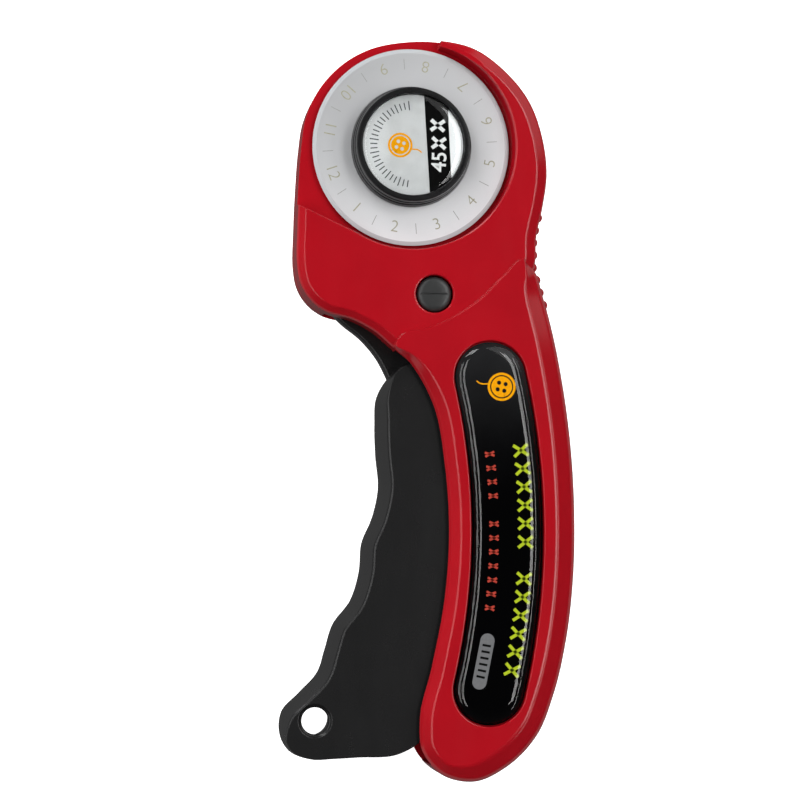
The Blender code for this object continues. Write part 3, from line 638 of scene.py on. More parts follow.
def brushed_disc(name, colour, roughness, metallic, size=0.08, tone=0.04, stain=0.14, upper_left_shade=0.0):
    """Metal ground in rings about the blade's axis, with faint stains and handling marks, and a
    painted shade that darkens the upper left side by its given share."""
    paint = Paint(name, colour, roughness, metallic)
    rings = paint.rings(size)
    stains = paint.noise(5.0, 5.0, 0.6)
    smear = paint.noise(0.9, 3.0, 0.5)
    tint = paint.shade(paint.remap(rings, 0.0, 1.0), 1.0 - tone, 1.0 + tone * 0.6)
    stained = tuple(c * (1.0 - stain) for c in colour)
    worn = paint.mix(paint.remap(stains, 0.0, 0.22, 0.45, 0.75), tint, stained)
    # Painted shade: the upper left of the disc is darkened in its colour, standing in for how the light
    # falls there.
    if upper_left_shade:
        shaded_colour = tuple(c * (1.0 - upper_left_shade) for c in colour)
        worn = paint.mix(paint.across(-0.45, 0.9, 20.0), worn, shaded_colour)
    paint.feed(worn, "Base Color")
    grooves = paint.remap(rings, roughness - 0.05, roughness + 0.06)
    paint.feed(paint.math("ADD", grooves, paint.remap(smear, -0.03, 0.03)), "Roughness")
    paint.set("Anisotropic", 0.25)
    tangent = paint.node("ShaderNodeTangent", direction_type="RADIAL", axis="Z")
    paint.feed(tangent.outputs["Tangent"], "Tangent")
    paint.feed(paint.bump(rings, 0.002, 0.5), "Normal")
    return paint.made


def foil():
    """Silver foil in soft grey, with a painted reflection that brightens it towards white on its right
    segment and towards its left rim.
    """
    paint = Paint("silver_foil", (0.62, 0.62, 0.62), 0.34, 0.0, 0.5)
    split = paint.node("ShaderNodeSeparateXYZ")
    paint.link(paint.place, split.inputs[0])
    middle = HUB_WORLD.x
    cloud = paint.noise(3.0, 3.0)
    grey = paint.shade(paint.remap(cloud, 0.0, 1.0), 0.94, 1.06)
    # Painted reflection: the right segment and the left rim are mixed towards white, standing in for the
    # dome's glare.
    segment = paint.remap(split.outputs["X"], 0.0, 1.0, middle + 7.6 * MM, middle + 8.2 * MM)
    left = paint.remap(split.outputs["X"], 0.0, 0.8, middle - 5.0 * MM, middle - 11.0 * MM)
    painted_glare = paint.math("MAXIMUM", segment, left)
    paint.feed(paint.mix(painted_glare, grey, (0.97, 0.97, 0.97)), "Base Color")
    paint.feed(paint.remap(cloud, 0.3, 0.38), "Roughness")
    return paint.made


def turned_steel(name, colour, roughness, grain=0.5):
    """Plain plated steel with fine drawing marks and dull spots."""
    paint = Paint(name, colour, roughness, 1.0)
    marks = paint.noise(grain, 4.0, 0.6, (1.0, 1.0, 6.0))
    spots = paint.noise(2.2, 4.0, 0.6)
    paint.feed(paint.shade(paint.remap(spots, 0.0, 1.0), 0.82, 1.05), "Base Color")
    paint.feed(paint.remap(marks, roughness - 0.06, roughness + 0.08), "Roughness")
    paint.feed(paint.bump(marks, 0.006, 0.5, paint.soft_edges(0.12)), "Normal")
    return paint.made


def ink(name, colour, roughness=0.45, speck=0.12, specular=0.0):
    """Printed ink: slightly uneven cover, with a fine raised grain. Under resin it has no gloss."""
    paint = Paint(name, colour, roughness, 0.0, specular)
    cover = paint.noise(0.5, 4.0, 0.6)
    paint.feed(paint.shade(paint.remap(cover, 0.0, 1.0), 1.0 - speck, 1.0 + speck * 0.4), "Base Color")
    paint.feed(paint.remap(cover, roughness - 0.06, roughness + 0.08), "Roughness")
    paint.feed(paint.bump(cover, 0.004, 0.5), "Normal")
    return paint.made


def label_film():
    """Black label sheet, with a painted dark grey reflection that fades out below the label's top."""
    paint = Paint("label_black_film", (0.0006, 0.0006, 0.0008), 0.35, 0.0, 0.0)
    split = paint.node("ShaderNodeSeparateXYZ")
    paint.link(paint.place, split.inputs[0])
    # Painted reflection: a dim grey is painted into the colour near the label's top, standing in for the
    # dome's reflection.
    top = HUB_WORLD.y - 47.0 * MM
    cloud = paint.noise(9.0, 3.0)
    rise = paint.remap(split.outputs["Y"], 0.0, 1.0, top - 36.0 * MM, top)
    glow = paint.math("MAXIMUM", paint.math("ADD", rise, paint.remap(cloud, -0.06, 0.06)), 0.0)
    painted_reflection_colour = paint.mix(paint.math("POWER", glow, 2.2), paint.colour, (0.017, 0.017, 0.018))
    paint.feed(painted_reflection_colour, "Base Color")
    paint.feed(paint.remap(cloud, 0.3, 0.4), "Roughness")
    return paint.made


def resin(name, tint):
    """A clear doming resin: see-through, with a mirror skin that waves very slightly."""
    roughness = 0.045
    paint = Paint(name, tint, roughness)
    ripple = paint.noise(6.0, 2.0, 0.4)
    dust = paint.noise(0.35, 2.0, 0.5)
    normal = paint.bump(ripple, 0.008, 0.5)
    clear = paint.node("ShaderNodeBsdfTransparent")
    clear.inputs["Color"].default_value = (*tint, 1.0)
    skin = paint.node("ShaderNodeBsdfGlossy")
    paint.link(paint.remap(dust, roughness, roughness + 0.008), skin.inputs["Roughness"])
    paint.link(normal, skin.inputs["Normal"])
    edge_on = paint.node("ShaderNodeLayerWeight")
    paint.link(normal, edge_on.inputs["Normal"])
    steep = paint.math("POWER", edge_on.outputs["Facing"], 5.0)
    blend = paint.node("ShaderNodeMixShader")
    paint.link(paint.math("MULTIPLY_ADD", steep, 0.96, 0.04), blend.inputs[0])
    paint.link(clear.outputs[0], blend.inputs[1])
    paint.link(skin.outputs[0], blend.inputs[2])
    paint.link(blend.outputs[0], paint.tree.nodes["Material Output"].inputs["Surface"])
    paint.tree.nodes.remove(paint.shader)
    return paint.made


RED = moulded(
    "red_plastic", (0.35, 0.0038, 0.0095), 0.15, 0.4, grain=0.5, relief=0.004, edges=0.25, rub=0.02,
)
BLACK = moulded(
    "black_lever_plastic", (0.0095, 0.0095, 0.0097), 0.26, 0.35, grain=0.25, relief=0.01, edges=0.25,
    mottle=0.08, rub=0.012,
)
GREY = moulded("grey_button_plastic", (0.027, 0.028, 0.028), 0.3, 0.35, edges=0.25, mottle=0.12)
CAP_BLACK = moulded("black_cap_plastic", (0.006, 0.006, 0.0064), 0.3, 0.25, edges=0.15, mottle=0.15)
KNOB_BLACK = moulded("black_knob_plastic", (0.012, 0.012, 0.013), 0.33, 0.5, edges=0.3, mottle=0.15)
BLADE_STEEL = brushed_disc("blade_steel_ground", (0.74, 0.75, 0.765), 0.36, 0.3, upper_left_shade=0.42)
EDGE_STEEL = brushed_disc(
    "blade_bevel_ground", (0.44, 0.45, 0.465), 0.42, 0.1, size=0.05, tone=0.02, stain=0.04,
)
SILVER = foil()
STEEL = turned_steel("plated_steel", (0.60, 0.60, 0.61), 0.28)
SPRING_STEEL = turned_steel("spring_wire_steel", (0.45, 0.45, 0.47), 0.3, 0.25)
BRASS = turned_steel("turned_brass", (0.66, 0.45, 0.18), 0.28)
LABEL_BLACK = label_film()
BAND_BLACK = ink("badge_black_ink", (0.004, 0.004, 0.004), 0.35, 0.2)
WHITE_INK = ink("white_ink", (0.86, 0.86, 0.85))
ORANGE_INK = ink("orange_ink", (0.90, 0.37, 0.004))
LIME_INK = ink("lime_ink", (0.46, 0.56, 0.025))
CORAL_INK = ink("coral_ink", (0.50, 0.06, 0.04), speck=0.3)
PILL_INK = ink("silver_grey_ink", (0.17, 0.17, 0.175))
GREY_INK = ink("grey_ink", (0.07, 0.072, 0.075))
TICK_INK = ink("etched_ticks", (0.30, 0.30, 0.29), speck=0.2, specular=0.3)
ETCH_INK = ink("etched_numbers", (0.36, 0.35, 0.26), speck=0.2, specular=0.3)
CLEAR = resin("clear_doming_resin", (0.97, 0.98, 0.98))


# ---------------------------------------------------------------- red shells

HANDLE_EDGE = shoulder(HANDLE_TOP, 5.3, 2.8, 29.0)
HEAD_EDGE = shoulder(HEAD_FACE, 2.9, 1.3, 30.0)


def rib_places():
    """Places of the thumb ribs, evenly spaced along the hollow of the spine."""
    spine = [p for p in head_outline() if p[0] > 27.5 and -27.0 < p[1] < -12.0]
    spine += [p for p in handle_outline() if p[0] > 27.5 and -42.0 < p[1] < -28.0]
    spine.sort(key=lambda p: -p[1])
    places = []
    for k in range(RIB_COUNT):
        height = -15.6 - k * RIB_PITCH
        for a, b in zip(spine, spine[1:]):
            if a[1] >= height > b[1]:
                t = (a[1] - height) / (a[1] - b[1])
                places.append((a[0] + (b[0] - a[0]) * t - 0.35, height))
    return places


def rib(name, place, low, high):
    """A thumb rib with a round top and a round bottom."""
    bends = [(math.sin(math.radians(a)), math.cos(math.radians(a))) for a in range(0, 91, 15)]
    top = [(RIB_RADIUS * across, high - RIB_RADIUS + RIB_RADIUS * up) for across, up in bends]
    foot = [(RIB_RADIUS * up, low + RIB_RADIUS - RIB_RADIUS * across) for across, up in bends]
    top[0] = (0.0, high)
    foot[-1] = (0.0, low)
    return turned(name, top + foot, place, 24)


def screw_posts(radius, handle_span, head_span):
    """A post for each screw; (low, high) is one pair in the handle and another in the head."""
    posts = []
    for k, (x, y, seat) in enumerate(SCREWS):
        low, high = handle_span if seat < HEAD_BACK else head_span
        posts.append(cylinder(f"post_{k}", (x, y), radius, low, high, 32))
    return posts


def guard_ramp():
    """Eases the guard's face up from where the guard starts, at the top of the head."""
    levels = []
    for reach, height in ((30.3, 23.0), (6.0, 19.6)):
        outline = [(-8.0, 14.0), (reach, 14.0), (reach, 40.0), (-8.0, 40.0)]
        levels.append((outline, height))
    return loft("guard_ramp", levels)


def front_shell():
    low = PARTING + SEAM
    handle = prism("shell_front", handle_outline(), HANDLE_EDGE + [(0.0, low - 2.0)], handle_share)
    head = prism("head_front", head_outline(), HEAD_EDGE + [(0.0, low - 2.5)], head_share)
    ribs = [rib(f"rib_{k}", place, 5.0, 17.6) for k, place in enumerate(rib_places())]
    add(handle, head, *ribs)
    deep = slab("deep_hollow", handle_cavity_outline(), 5.0, 19.0)
    shallow = slab("head_hollow", head_cavity_outline(), 6.0, 14.0)
    wall = [
        (5.0, 24.8), (0.85, 21.02), (0.68, 20.97), (0.52, 20.84), (0.44, 20.6), (0.36, 19.9),
        (0.0, RECESS_FLOOR),
    ]
    recess = loft("recess", [(recess_outline(RECESS_RADIUS + flare), height) for flare, height in wall])
    lip = [
        (-1.2, 24.0), (-0.35, HANDLE_TOP), (-0.12, HANDLE_TOP - 0.12), (0.0, HANDLE_TOP - 0.35),
        (0.0, POCKET_FLOOR),
    ]
    pocket = prism("pocket", band(label_path(), LABEL_HALF), lip)
    hole = [
        (0.0, 30.0), (6.0, 30.0), (4.75, HEAD_FACE), (4.4, HEAD_FACE - 0.12), (4.25, HEAD_FACE - 0.4),
        (4.25, 10.0), (0.0, 10.0),
    ]
    button = turned("button_hole", hole, LOCK, 64)
    spring_room = cylinder("spring_room", PIVOT, 7.2, 10.0, 18.0)
    slot = slab("hub_slot", band(swing_path(HUB), SLOT_HALF), 10.0, 20.0)
    parting = box("parting", (0.0, -60.0, low - 10.0), (120.0, 240.0, 20.0))
    cut(handle, deep, shallow, recess, guard_ramp(), pocket, button, spring_room, slot)
    add(handle, *screw_posts(2.9, (low - 1.0, 19.8), (low - 1.0, 14.8)))
    cut(handle, parting)
    finish(handle, RED, "body", ["front_shell"])


def back_shell():
    high = PARTING - SEAM
    handle_edge = [(inset, HANDLE_TOP - height) for inset, height in HANDLE_EDGE[::-1]]
    head_edge = [(inset, HEAD_BACK + HEAD_FACE - height) for inset, height in HEAD_EDGE[::-1]]
    handle = prism("shell_back", handle_outline(), [(0.0, high + 2.0)] + handle_edge, handle_share)
    head = prism("head_back", head_outline(), [(0.0, high + 2.5)] + head_edge, head_share)
    ribs = [rib(f"rib_{k}", place, 7.6, high + 6.0) for k, place in enumerate(rib_places())]
    add(handle, head, *ribs)
    deep = slab("deep_hollow", handle_cavity_outline(), 3.0, 16.0)
    shallow = slab("head_hollow", head_cavity_outline(), 7.6, 16.0)
    flare = [(0.0, 12.0), (0.0, HEAD_BACK + 0.3), (-0.3, HEAD_BACK), (-2.0, 3.0)]
    slot = prism("hub_slot", band(swing_path(HUB), SLOT_HALF), flare)
    bore = [(0.0, 12.0), (3.25, 12.0), (3.25, 0.4), (3.6, -0.1), (5.0, -2.0), (0.0, -2.0)]
    tail = turned("tail_hole", bore, LOCK, 64)
    cut(handle, deep, shallow, slot, tail)
    add(handle, *screw_posts(3.75, (2.2, high + 1.0), (6.6, high + 1.0)))
    wells = []
    for k, (x, y, seat) in enumerate(SCREWS):
        face = 0.0 if seat < HEAD_BACK else HEAD_BACK
        well = [
            (0.0, 15.0), (1.5, 15.0), (1.5, seat), (2.95, seat), (2.95, face + 0.35), (3.2, face),
            (4.4, face - 1.5), (0.0, face - 1.5),
        ]
        wells.append(turned(f"well_{k}", well, (x, y), 48))
    cut(handle, *wells)
    cut(handle, box("parting", (0.0, -60.0, high + 10.0), (120.0, 240.0, 20.0)))
    finish(handle, RED, "body", ["back_shell"])


# ---------------------------------------------------------------- lever

def near_fingers(x, y):
    """A small share at the lever's plain ends, and 1 along the finger grooves."""
    return min(1.0, max(0.1, (-51.3 - y) / 4.5), max(0.16, (y + 135.5) / 5.0))


def lever():
    """The grip has a crisp edge round its face, then sides that slope out to a full belly."""
    edge = [
        (3.0, 18.0), (2.74, 17.97), (2.5, 17.88), (2.29, 17.72), (2.12, 17.5), (1.96, 17.24),
        (1.5, 16.4), (0.98, 15.4), (0.55, 14.2), (0.24, 13.0), (0.06, 11.9), (0.0, PARTING),
    ]
    lower = [(inset, 2.0 * PARTING - height) for inset, height in edge[::-1]][1:]
    grip = prism("lever_moulding", grip_outline(), edge + lower, near_fingers)
    arm_top = [(0.8, 13.0), (0.5, 12.92), (0.23, 12.7), (0.06, 12.4), (0.0, 12.0)]
    arm_low = [(inset, 2.0 * PARTING - height) for inset, height in arm_top[::-1]]
    arm = prism("arm", arm_outline(), arm_top + arm_low)
    front_boss = cylinder("front_boss", HUB, 6.0, 10.0, 17.1)
    rear_boss = cylinder("rear_boss", HUB, 6.0, 5.9, 12.0)
    pivot_boss = cylinder("pivot_boss", PIVOT, 5.6, 7.9, 13.4)
    peg = cylinder("peg", (PIVOT[0] + 3.2, PIVOT[1] - 4.65), 0.9, 12.0, 15.0, 24)
    add(grip, arm, front_boss, rear_boss, pivot_boss, peg)
    reach = lock_path()
    tools = [
        slab("bolt_bore", double_d(2.65, 2.15), 4.0, 20.0),
        cylinder("pin_bore", PIVOT, 2.08, 5.0, 16.0, 48),
        cylinder("lobe_out", reach[0], 3.15, 8.0, 15.0, 48),
        cylinder("lobe_in", reach[-1], 3.15, 8.0, 15.0, 48),
        slab("waist", band(reach, 2.15), 8.0, 15.0),
    ]
    hang = [
        (0.0, 22.0), (7.0, 22.0), (3.95, 18.0), (3.7, 17.86), (3.55, 17.6), (3.45, 17.5), (3.2, 17.4),
        (3.05, 17.1), (3.0, 16.7), (3.9, 5.3), (3.95, 4.9), (4.05, 4.5), (4.2, 4.14), (4.45, 4.0),
        (7.0, 0.0), (0.0, 0.0),
    ]
    tools.append(turned("hang_hole", hang, HANG_HOLE, 64))
    hollows = [
        [(-3.6, -58.0), (4.8, -58.0), (8.6, -70.0), (8.6, -77.0), (-2.8, -77.0), (-3.8, -68.0)],
        [(-3.0, -80.0), (9.4, -80.0), (9.0, -92.0), (7.8, -100.0), (-7.2, -100.0), (-6.8, -92.0)],
        [(-8.8, -103.0), (7.2, -103.0), (4.6, -115.0), (2.4, -122.0), (-15.6, -122.0), (-14.6, -113.0)],
    ]
    hollow = [(0.0, 13.5), (0.0, 4.3), (-0.3, 4.0), (-1.5, 2.5)]
    for k, corners in enumerate(hollows):
        tools.append(prism(f"hollow_{k}", smooth_run(corners, True, 1.2), hollow))
    cut(grip, *tools)
    finish(grip, BLACK, "lever", ["trigger_lever"])


# ---------------------------------------------------------------- small body parts

def lock_button():
    profile = [
        (0.0, 20.75), (1.6, 20.72), (2.7, 20.66), (3.25, 20.55), (3.7, 20.3), (3.93, 19.95), (4.0, 19.5),
        (4.0, 13.4), (1.9, 13.4), (1.9, 8.7), (2.6, 8.7), (2.4, 8.15), (3.0, 7.5), (3.0, 5.8), (2.4, 5.15),
        (3.0, 4.5), (3.0, 2.8), (2.85, 2.4), (2.5, 2.2), (0.0, 2.2),
    ]
    button = turned("lock_push_button", profile, LOCK, 96)
    cut(button, box("groove", (*LOCK, 20.8), (10.0, 0.36, 0.5)))
    finish(button, GREY, "lock", ["lock_button"])


def screw_heads():
    for k, (x, y, seat) in enumerate(SCREWS):
        top = seat - 0.2
        low = top - 1.8
        profile = [
            (0.0, seat + 9.0), (0.4, seat + 8.8), (1.15, seat + 7.6), (1.15, top), (2.6, top),
            (2.6, top - 0.5), (2.45, top - 0.95), (2.1, top - 1.35), (1.5, top - 1.65),
            (0.8, low + 0.03), (0.0, low),
        ]
        screw = turned(f"screw_{k + 1}", profile, (x, y), 48)
        drive = [(0.0, low + 1.3), (0.9, low + 0.4), (1.1, low - 0.5), (0.0, low - 0.5)]
        turn = 17.0 + 31.0 * k
        arms = [
            box("drive_a", (x, y, low), (2.9, 0.62, 1.9), turn),
            box("drive_b", (x, y, low), (0.62, 2.9, 1.9), turn),
            turned("drive_c", drive, (x, y), 24),
        ]
        cut(screw, *arms)
        finish(screw, STEEL, "body", [f"shell_screw_{k + 1}"])


def return_coil():
    """The torsion spring round the pivot pin, with a leg on the shell and a leg on the lever."""
    coil, leg, low, pitch, turns, per_turn = 3.1, 5.4, 14.2, 1.05, 3, 40
    points = [(leg, -coil, low)]
    for k in range(turns * per_turn + 1):
        angle = math.radians(-90 - 360 * k / per_turn)
        points.append((coil * math.cos(angle), coil * math.sin(angle), low + pitch * k / per_turn))
    points.append((-leg, -coil, low + pitch * turns))
    curve = bpy.data.curves.new("return_coil", "CURVE")
    curve.dimensions = "3D"
    curve.bevel_depth = 0.45
    curve.bevel_resolution = 4
    curve.use_fill_caps = True
    spline = curve.splines.new("POLY")
    spline.points.add(len(points) - 1)
    for point, spot in zip(spline.points, points):
        point.co = (PIVOT[0] + spot[0], PIVOT[1] + spot[1], spot[2], 1.0)
    drawn = new_object("coil_curve", curve)
    made = mesh_from(drawn, "return_coil")
    finish(made, SPRING_STEEL, "body", ["return_spring"])


def mesh_from(drawn, name):
    """A mesh object in place of a curve or text object that is drawn in plan sizes."""
    bpy.context.view_layer.update()
    ready = drawn.evaluated_get(bpy.context.evaluated_depsgraph_get())
    mesh = bpy.data.meshes.new_from_object(ready)
    mesh.transform(drawn.matrix_world)
    bpy.data.objects.remove(drawn, do_unlink=True)
    work = bmesh.new()
    work.from_mesh(mesh)
    bmesh.ops.remove_doubles(work, verts=work.verts, dist=0.0001)
    bmesh.ops.recalc_face_normals(work, faces=work.faces)
    work.to_mesh(mesh)
    work.free()
    mesh.transform(TO_WORLD)
    return new_object(name, mesh)


# ---------------------------------------------------------------- blade

def numeral(body, place, turn, size, low, thick, fatten, stretch=1.0):
    """A raised numeral, centred on a place, turned by an angle in degrees, and fattened all round."""
    text = bpy.data.curves.new("numeral", "FONT")
    text.body = body
    text.size = size
    text.align_x = "CENTER"
    text.align_y = "CENTER"
    text.extrude = thick / 2
    text.offset = fatten
    drawn = new_object("numeral_text", text)
    drawn.rotation_euler = (0.0, 0.0, math.radians(turn))
    drawn.scale = (stretch, 1.0, 1.0)
    drawn.location = (place[0], place[1], low + thick / 2)
    return mesh_from(drawn, "numeral_" + body)


def blade():
    high = BLADE_TOP
    low = high - 0.3
    inner = BLADE_RADIUS - BLADE_BEVEL
    face = [(4.0, high), (inner, high), (inner, high - 0.28), (4.0, high - 0.28)]
    disc = turned("blade_disc_face", face, HUB, 240)
    finish(disc, BLADE_STEEL, "blade_disc", ["blade"])
    edge = [
        (inner, high), (BLADE_RADIUS - 0.1, high - 0.13), (BLADE_RADIUS, high - 0.15),
        (BLADE_RADIUS - 0.1, high - 0.17), (inner, low),
    ]
    bevel = turned("blade_sharp_edge", edge, HUB, 240)
    finish(bevel, EDGE_STEEL, "blade_disc", sharp=3.0)
    ring_centre = (-0.2, 0.2)
    ring = 18.75
    marks = []
    ticks = []
    for k in range(12):
        angle = -70.9 + 30.0 * (k - 2)
        place = on_circle(ring_centre, ring, angle)
        marks.append(numeral(str(k + 1), place, angle + 90.0, 3.8, high - 0.01, INK, -0.045))
        angle += 15.0
        place = on_circle(ring_centre, ring + 0.1, angle)
        ticks.append(box("tick", (*place, high + 0.004), (2.4, 0.13, 0.028), angle))
    finish(join("blade_numerals", marks), ETCH_INK, "blade_disc")
    finish(join("blade_ticks", ticks), TICK_INK, "blade_disc")


# ---------------------------------------------------------------- hub

def hub():
    profile = [
        (0.0, 21.1), (11.6, 21.1), (11.6, 22.72), (11.63, 22.83), (11.71, 22.89), (11.8, CAP_TOP),
        (12.66, CAP_TOP), (12.8, 22.87), (12.89, 22.78), (12.92, 22.6), (13.08, 21.5), (12.92, 21.4),
        (12.96, 21.16), (13.2, 21.04), (13.34, 20.2), (13.18, 20.1), (13.24, 19.86), (13.5, 19.74),
        (13.8, 18.4), (13.76, 18.1), (13.6, 18.0), (5.6, 18.0), (5.6, 20.6), (0.0, 20.6),
    ]
    finish(turned("hub_cap_ring", profile, HUB, 192), CAP_BLACK, "lever", ["hub_cap"], 40.0)
    foil_edge = [
        (0.0, BADGE_FACE), (11.3, BADGE_FACE), (11.46, 21.5), (BADGE_RADIUS, 21.4),
        (BADGE_RADIUS, 21.25), (0.0, 21.25),
    ]
    plate = turned("badge_foil", foil_edge, HUB, 144)
    finish(plate, SILVER, "lever", ["hub_badge"])
    corners = [(2.5, 11.16), (7.95, 8.23), (8.7, -7.43), (3.8, -10.79)]
    bearings = [math.degrees(math.atan2(y, x)) for x, y in corners]
    outline = arc(HUB, 11.44, bearings[0], bearings[1], 16)
    outline += arc(HUB, 11.44, bearings[2], bearings[3], 16)
    finish(slab("badge_stripe", outline, 21.55, 21.585), BAND_BLACK, "lever")
    size = numeral("45", (6.05, -3.75), 87.0, 4.7, 21.58, 0.02, 0.07, 0.98)
    finish(size, WHITE_INK, "lever")
    stitches = []
    for place in ((5.85, 0.5), (5.6, 4.5)):
        for turn in (35.0, -41.0):
            stitches.append(box("stitch", (*place, 21.6), (3.9, 0.85, INK), turn))
    finish(join("badge_cross_stitches", stitches), WHITE_INK, "lever")
    sewing_button("badge_sewing_button", (-2.95, -0.1), 2.8, 21.556, -18.0, "lever")
    strokes = []
    for k in range(27):
        angle = 96.0 + 166.0 * k / 26
        long = 1.6 if k % 3 else 2.1
        place = on_circle(HUB, 8.95, angle)
        strokes.append(box("stroke", (*place, 21.57), (long, 0.24, INK), angle))
    finish(join("badge_scale_strokes", strokes), GREY_INK, "lever")
    lens = []
    for bearing in range(0, 90, 5):
        angle = math.radians(bearing)
        lens.append((BADGE_RADIUS * math.sin(angle), 22.3 + math.cos(angle)))
    lens += [(BADGE_RADIUS, 22.3), (BADGE_RADIUS, 21.8), (0.0, 21.8)]
    finish(turned("badge_resin_dome", lens, HUB, 144), CLEAR, "lever", ["hub_lens"], 50.0)


def sewing_button(name, centre, radius, low, thread_turn, body):
    """A generic sewing emblem: a four-hole button with a short tail of thread."""
    disc = cylinder(name, centre, radius, low, low + INK, 48)
    holes = []
    for k in range(4):
        place = on_circle(centre, radius * 0.34, thread_turn + 45 + 90 * k)
        holes.append(cylinder(f"hole_{k}", place, radius * 0.15, low - 1.0, low + 1.0, 20))
    inner = radius * 0.74
    outer = radius * 0.83
    rim = [(inner, low + 1.0), (outer, low + 1.0), (outer, low - 1.0), (inner, low - 1.0)]
    cut(disc, turned("rim", rim, centre, 48), *holes)
    tail = [
        on_circle(centre, radius * r, thread_turn + bend)
        for r, bend in ((0.95, 0.0), (1.15, 2.0), (1.35, 4.0), (1.6, 3.0), (1.8, 0.0))
    ]
    thread = slab("thread", band(smooth_run(tail, False, 0.15), 0.14, 6), low, low + 0.025)
    finish(join(name, [disc, thread]), ORANGE_INK, body)


# ---------------------------------------------------------------- label

def cross_row(count, gap, first, step, across, size, lean):
    """Crossed strokes along the label, on its face, with one left out; first and step are shares of
    the label's length."""
    strokes = []
    for k in range(count):
        if k == gap:
            continue
        place, heading = along_label(first - step * k, across)
        for turn in (lean, -lean):
            strokes.append(box("stroke", (*place, LABEL_FACE + INK / 2), size, heading + 90.0 + turn))
    return strokes


def label():
    outline = band(label_path(), LABEL_HALF - LABEL_GAP)
    plate = prism("label_film", outline, [(0.1, LABEL_FACE), (0.0, LABEL_FACE - 0.1), (0.0, 20.8)])
    finish(plate, LABEL_BLACK, "body", ["label_plate"])
    bulge = []
    for k in range(17):
        angle = math.radians(5.0 * k)
        inset = DOME_WIDTH * (1.0 - math.sin(angle))
        bulge.append((inset, POCKET_FLOOR + DOME_HEIGHT * math.cos(angle)))
    dome = prism("label_resin_dome", outline, bulge)
    finish(dome, CLEAR, "body", ["label_dome"], 60.0)
    sewing_button("label_sewing_button", (20.2, -54.65), 3.2, LABEL_FACE, 168.0, "body")
    crosses = cross_row(13, 6, 0.758, 0.05695, 4.1, (4.2, 0.72, INK), 38.0)
    finish(join("label_cross_stitches", crosses), LIME_INK, "body")
    small = cross_row(12, 4, 0.757, 0.0454, -3.1, (2.3, 0.5, INK), 24.0)
    finish(join("label_small_stitches", small), CORAL_INK, "body")
    ends = [along_label(0.152, -2.6)[0], along_label(0.016, -2.6)[0]]
    pill = slab("label_grey_pill", band(ends, 1.62), LABEL_FACE, LABEL_FACE + INK)
    finish(pill, PILL_INK, "body")
    bars = []
    for k in range(6):
        place, heading = along_label(0.136 - 0.0205 * k, -2.6)
        bars.append(box("bar", (*place, LABEL_FACE + 0.035), (1.9, 0.5, 0.02), heading + 90.0))
    finish(join("label_pill_bars", bars), BAND_BLACK, "body")


# ---------------------------------------------------------------- back of the hub

def nut_grip():
    """The finger nut: a scalloped rim, a groove round its face and a window for the bolt."""
    count = 14
    outline = []
    for k in range(count * 16):
        angle = math.tau * k / (count * 16)
        radius = KNOB_RADIUS - SCALLOP + SCALLOP * math.cos(angle * count)
        outline.append((radius * math.cos(angle), radius * math.sin(angle)))
    edge = [
        (0.5, 4.2), (0.15, 4.1), (0.0, 3.8), (0.0, 1.0), (0.1, 0.6), (0.35, 0.25), (0.7, 0.06), (1.0, 0.0),
    ]
    knob = prism("nut_finger_grip", outline, edge)
    add(knob, cylinder("knob_hub", HUB, 5.6, 1.0, 4.7, 64))
    groove = [(6.6, 0.45), (6.9, 0.6), (8.7, 0.6), (9.0, 0.45), (9.3, -0.5), (6.3, -0.5)]
    window = [(0.0, 2.0), (3.0, 2.0), (3.0, 0.3), (3.3, 0.0), (4.3, -1.0), (0.0, -1.0)]
    seat = cylinder("insert_seat", HUB, 4.5, 0.6, 8.0, 6)
    cut(knob, seat, turned("groove", groove, HUB, 96), turned("window", window, HUB, 64))
    finish(knob, KNOB_BLACK, "nut", ["nut_knob"])


def paint_nodes():
    """Materials for the CAD nodes whose shape is kept."""
    kept = {
        "pivot_pin": STEEL, "detent_wire": SPRING_STEEL, "hub_bolt": STEEL, "blade_bushing": STEEL,
        "spring_washer": SPRING_STEEL, "nut_insert": BRASS,
    }
    for name, paint in kept.items():
        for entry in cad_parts[name].material_slots:
            entry.material = paint


# ---------------------------------------------------------------- stage

def facing(place, target):
    """The placing of a camera or a light that looks at a target, with the head of the cutter up."""
    back = (Vector(place) - Vector(target)).normalized()
    right = Vector((0.0, 1.0, 0.0)).cross(back).normalized()
    turn = Matrix((right, back.cross(right), back)).transposed()
    return Matrix.Translation(place) @ turn.to_4x4()


def camera():
    """The camera looks down from the left and from the foot of the cutter."""
    lens = bpy.data.cameras.new("camera")
    lens.sensor_width = 36.0
    lens.lens = CAMERA_LENS
    made = bpy.data.objects.new("camera", lens)
    bpy.context.scene.collection.objects.link(made)
    side = math.radians(CAMERA_SIDE)
    foot = math.radians(CAMERA_FOOT)
    target = TO_WORLD @ Vector(CAMERA_TARGET)
    back = Vector((-math.sin(side) * math.cos(foot), -math.sin(foot), math.cos(side) * math.cos(foot)))
    made.matrix_world = facing(target + back * CAMERA_DISTANCE, target)
    bpy.context.scene.camera = made


def softbox(name, place, size, power, target=(0.0, 0.0, 0.01), mirrored=True):
    """A soft light; its size is (across, along +Y). Glossy surfaces show it only if mirrored."""
    light = bpy.data.lights.new(name, "AREA")
    light.shape = "RECTANGLE"
    light.size = size[0]
    light.size_y = size[1]
    light.energy = power
    made = bpy.data.objects.new(name, light)
    made.matrix_world = facing(place, target)
    made.visible_glossy = mirrored
    bpy.context.scene.collection.objects.link(made)


def strip_light(name, lean, spread, along, length, glow, mirrored=True):
    """A long light a metre away, beside the object: its lean from straight up, its width in
    degrees, its shift and length along the object, and how brightly it shows in a mirror."""
    angle = math.radians(lean)
    across = 2.0 * math.tan(math.radians(spread / 2))
    place = (math.sin(angle), along, math.cos(angle))
    power = glow * math.pi * across * length
    softbox(name, place, (across, length), power, (0.0, along, 0.0), mirrored)


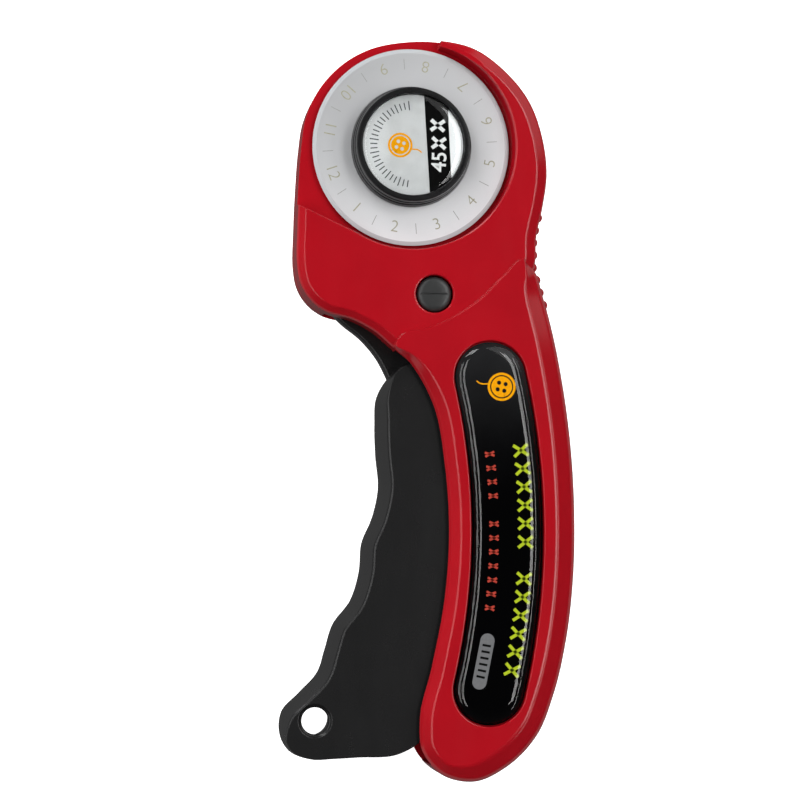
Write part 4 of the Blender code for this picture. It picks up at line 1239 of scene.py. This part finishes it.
def sky():
    """Dim light from all round: darkest overhead, brightest from just below the horizon."""
    world = bpy.data.worlds.new("studio")
    bpy.context.scene.world = world
    world.use_nodes = True
    tree = world.node_tree
    way = tree.nodes.new("ShaderNodeTexCoord")
    split = tree.nodes.new("ShaderNodeSeparateXYZ")
    tree.links.new(way.outputs["Generated"], split.inputs[0])
    level = SKY_NADIR
    # Each step: from this height to that, the strength fades to this one.
    steps = ((-1.0, -0.15, SKY_SKIRT), (-0.12, 0.0, SKY_HORIZON), (0.0, 1.0, SKY_ZENITH))
    for first, last, glow in steps:
        ramp = tree.nodes.new("ShaderNodeMapRange")
        ramp.inputs["From Min"].default_value = first
        ramp.inputs["From Max"].default_value = last
        ramp.inputs["To Max"].default_value = glow
        if isinstance(level, float):
            ramp.inputs["To Min"].default_value = level
        else:
            tree.links.new(level, ramp.inputs["To Min"])
        tree.links.new(split.outputs["Z"], ramp.inputs["Value"])
        level = ramp.outputs["Result"]
    back = tree.nodes["Background"]
    back.inputs["Color"].default_value = (1.0, 1.0, 1.0, 1.0)
    tree.links.new(level, back.inputs["Strength"])


def stage():
    """A pale floor that lights nothing itself, long lights for the highlights along the edges, and
    three fills that no glossy surface shows."""
    sheet = bpy.data.meshes.new("pale_floor")
    work = bmesh.new()
    bmesh.ops.create_grid(work, x_segments=8, y_segments=8, size=3.0)
    work.to_mesh(sheet)
    work.free()
    sheet.transform(Matrix.Translation((0.0, 0.0, -0.0002)))
    floor = new_object("pale_floor", sheet)
    paint = Paint("pale_paper", (0.93, 0.93, 0.93), 0.8, 0.0, 0.2)
    grain = paint.noise(3.0, 4.0)
    paint.feed(paint.shade(paint.remap(grain, 0.0, 1.0), 0.99, 1.0), "Base Color")
    paint.set("Emission Color", (1.0, 1.0, 1.0, 1.0))
    paint.set("Emission Strength", FLOOR_GLOW)
    sheet.materials.append(paint.made)
    floor.visible_glossy = False
    floor.visible_diffuse = False
    sky()
    strip_light("right_box", 29.0, 12.0, 0.15, 0.9, 6.0)
    strip_light("low_right_box", 48.0, 6.0, 0.0, 1.2, 4.2)
    strip_light("left_box", -27.0, 9.5, 0.0, 1.1, 4.4)
    strip_light("low_left_box", -50.0, 14.0, 0.0, 1.1, 3.4)
    strip_light("left_fill", -72.0, 16.0, 0.0, 1.3, 3.0, mirrored=False)
    softbox("head_box", (0.62, 0.68, 0.62), (1.1, 0.9), 3.2)
    softbox("crest_box", (-0.47, 0.81, 0.35), (0.7, 0.3), 4.2)
    softbox("top_fill", (0.5, 0.2, 1.0), (1.2, 1.2), 1.6, mirrored=False)
    softbox("crease_fill", (-0.6, 0.78, 0.12), (0.9, 0.5), 6.0, mirrored=False)
    bpy.context.scene.view_settings.view_transform = "Standard"


camera()
front_shell()
back_shell()
lever()
lock_button()
screw_heads()
return_coil()
blade()
hub()
label()
nut_grip()
paint_nodes()
stage()
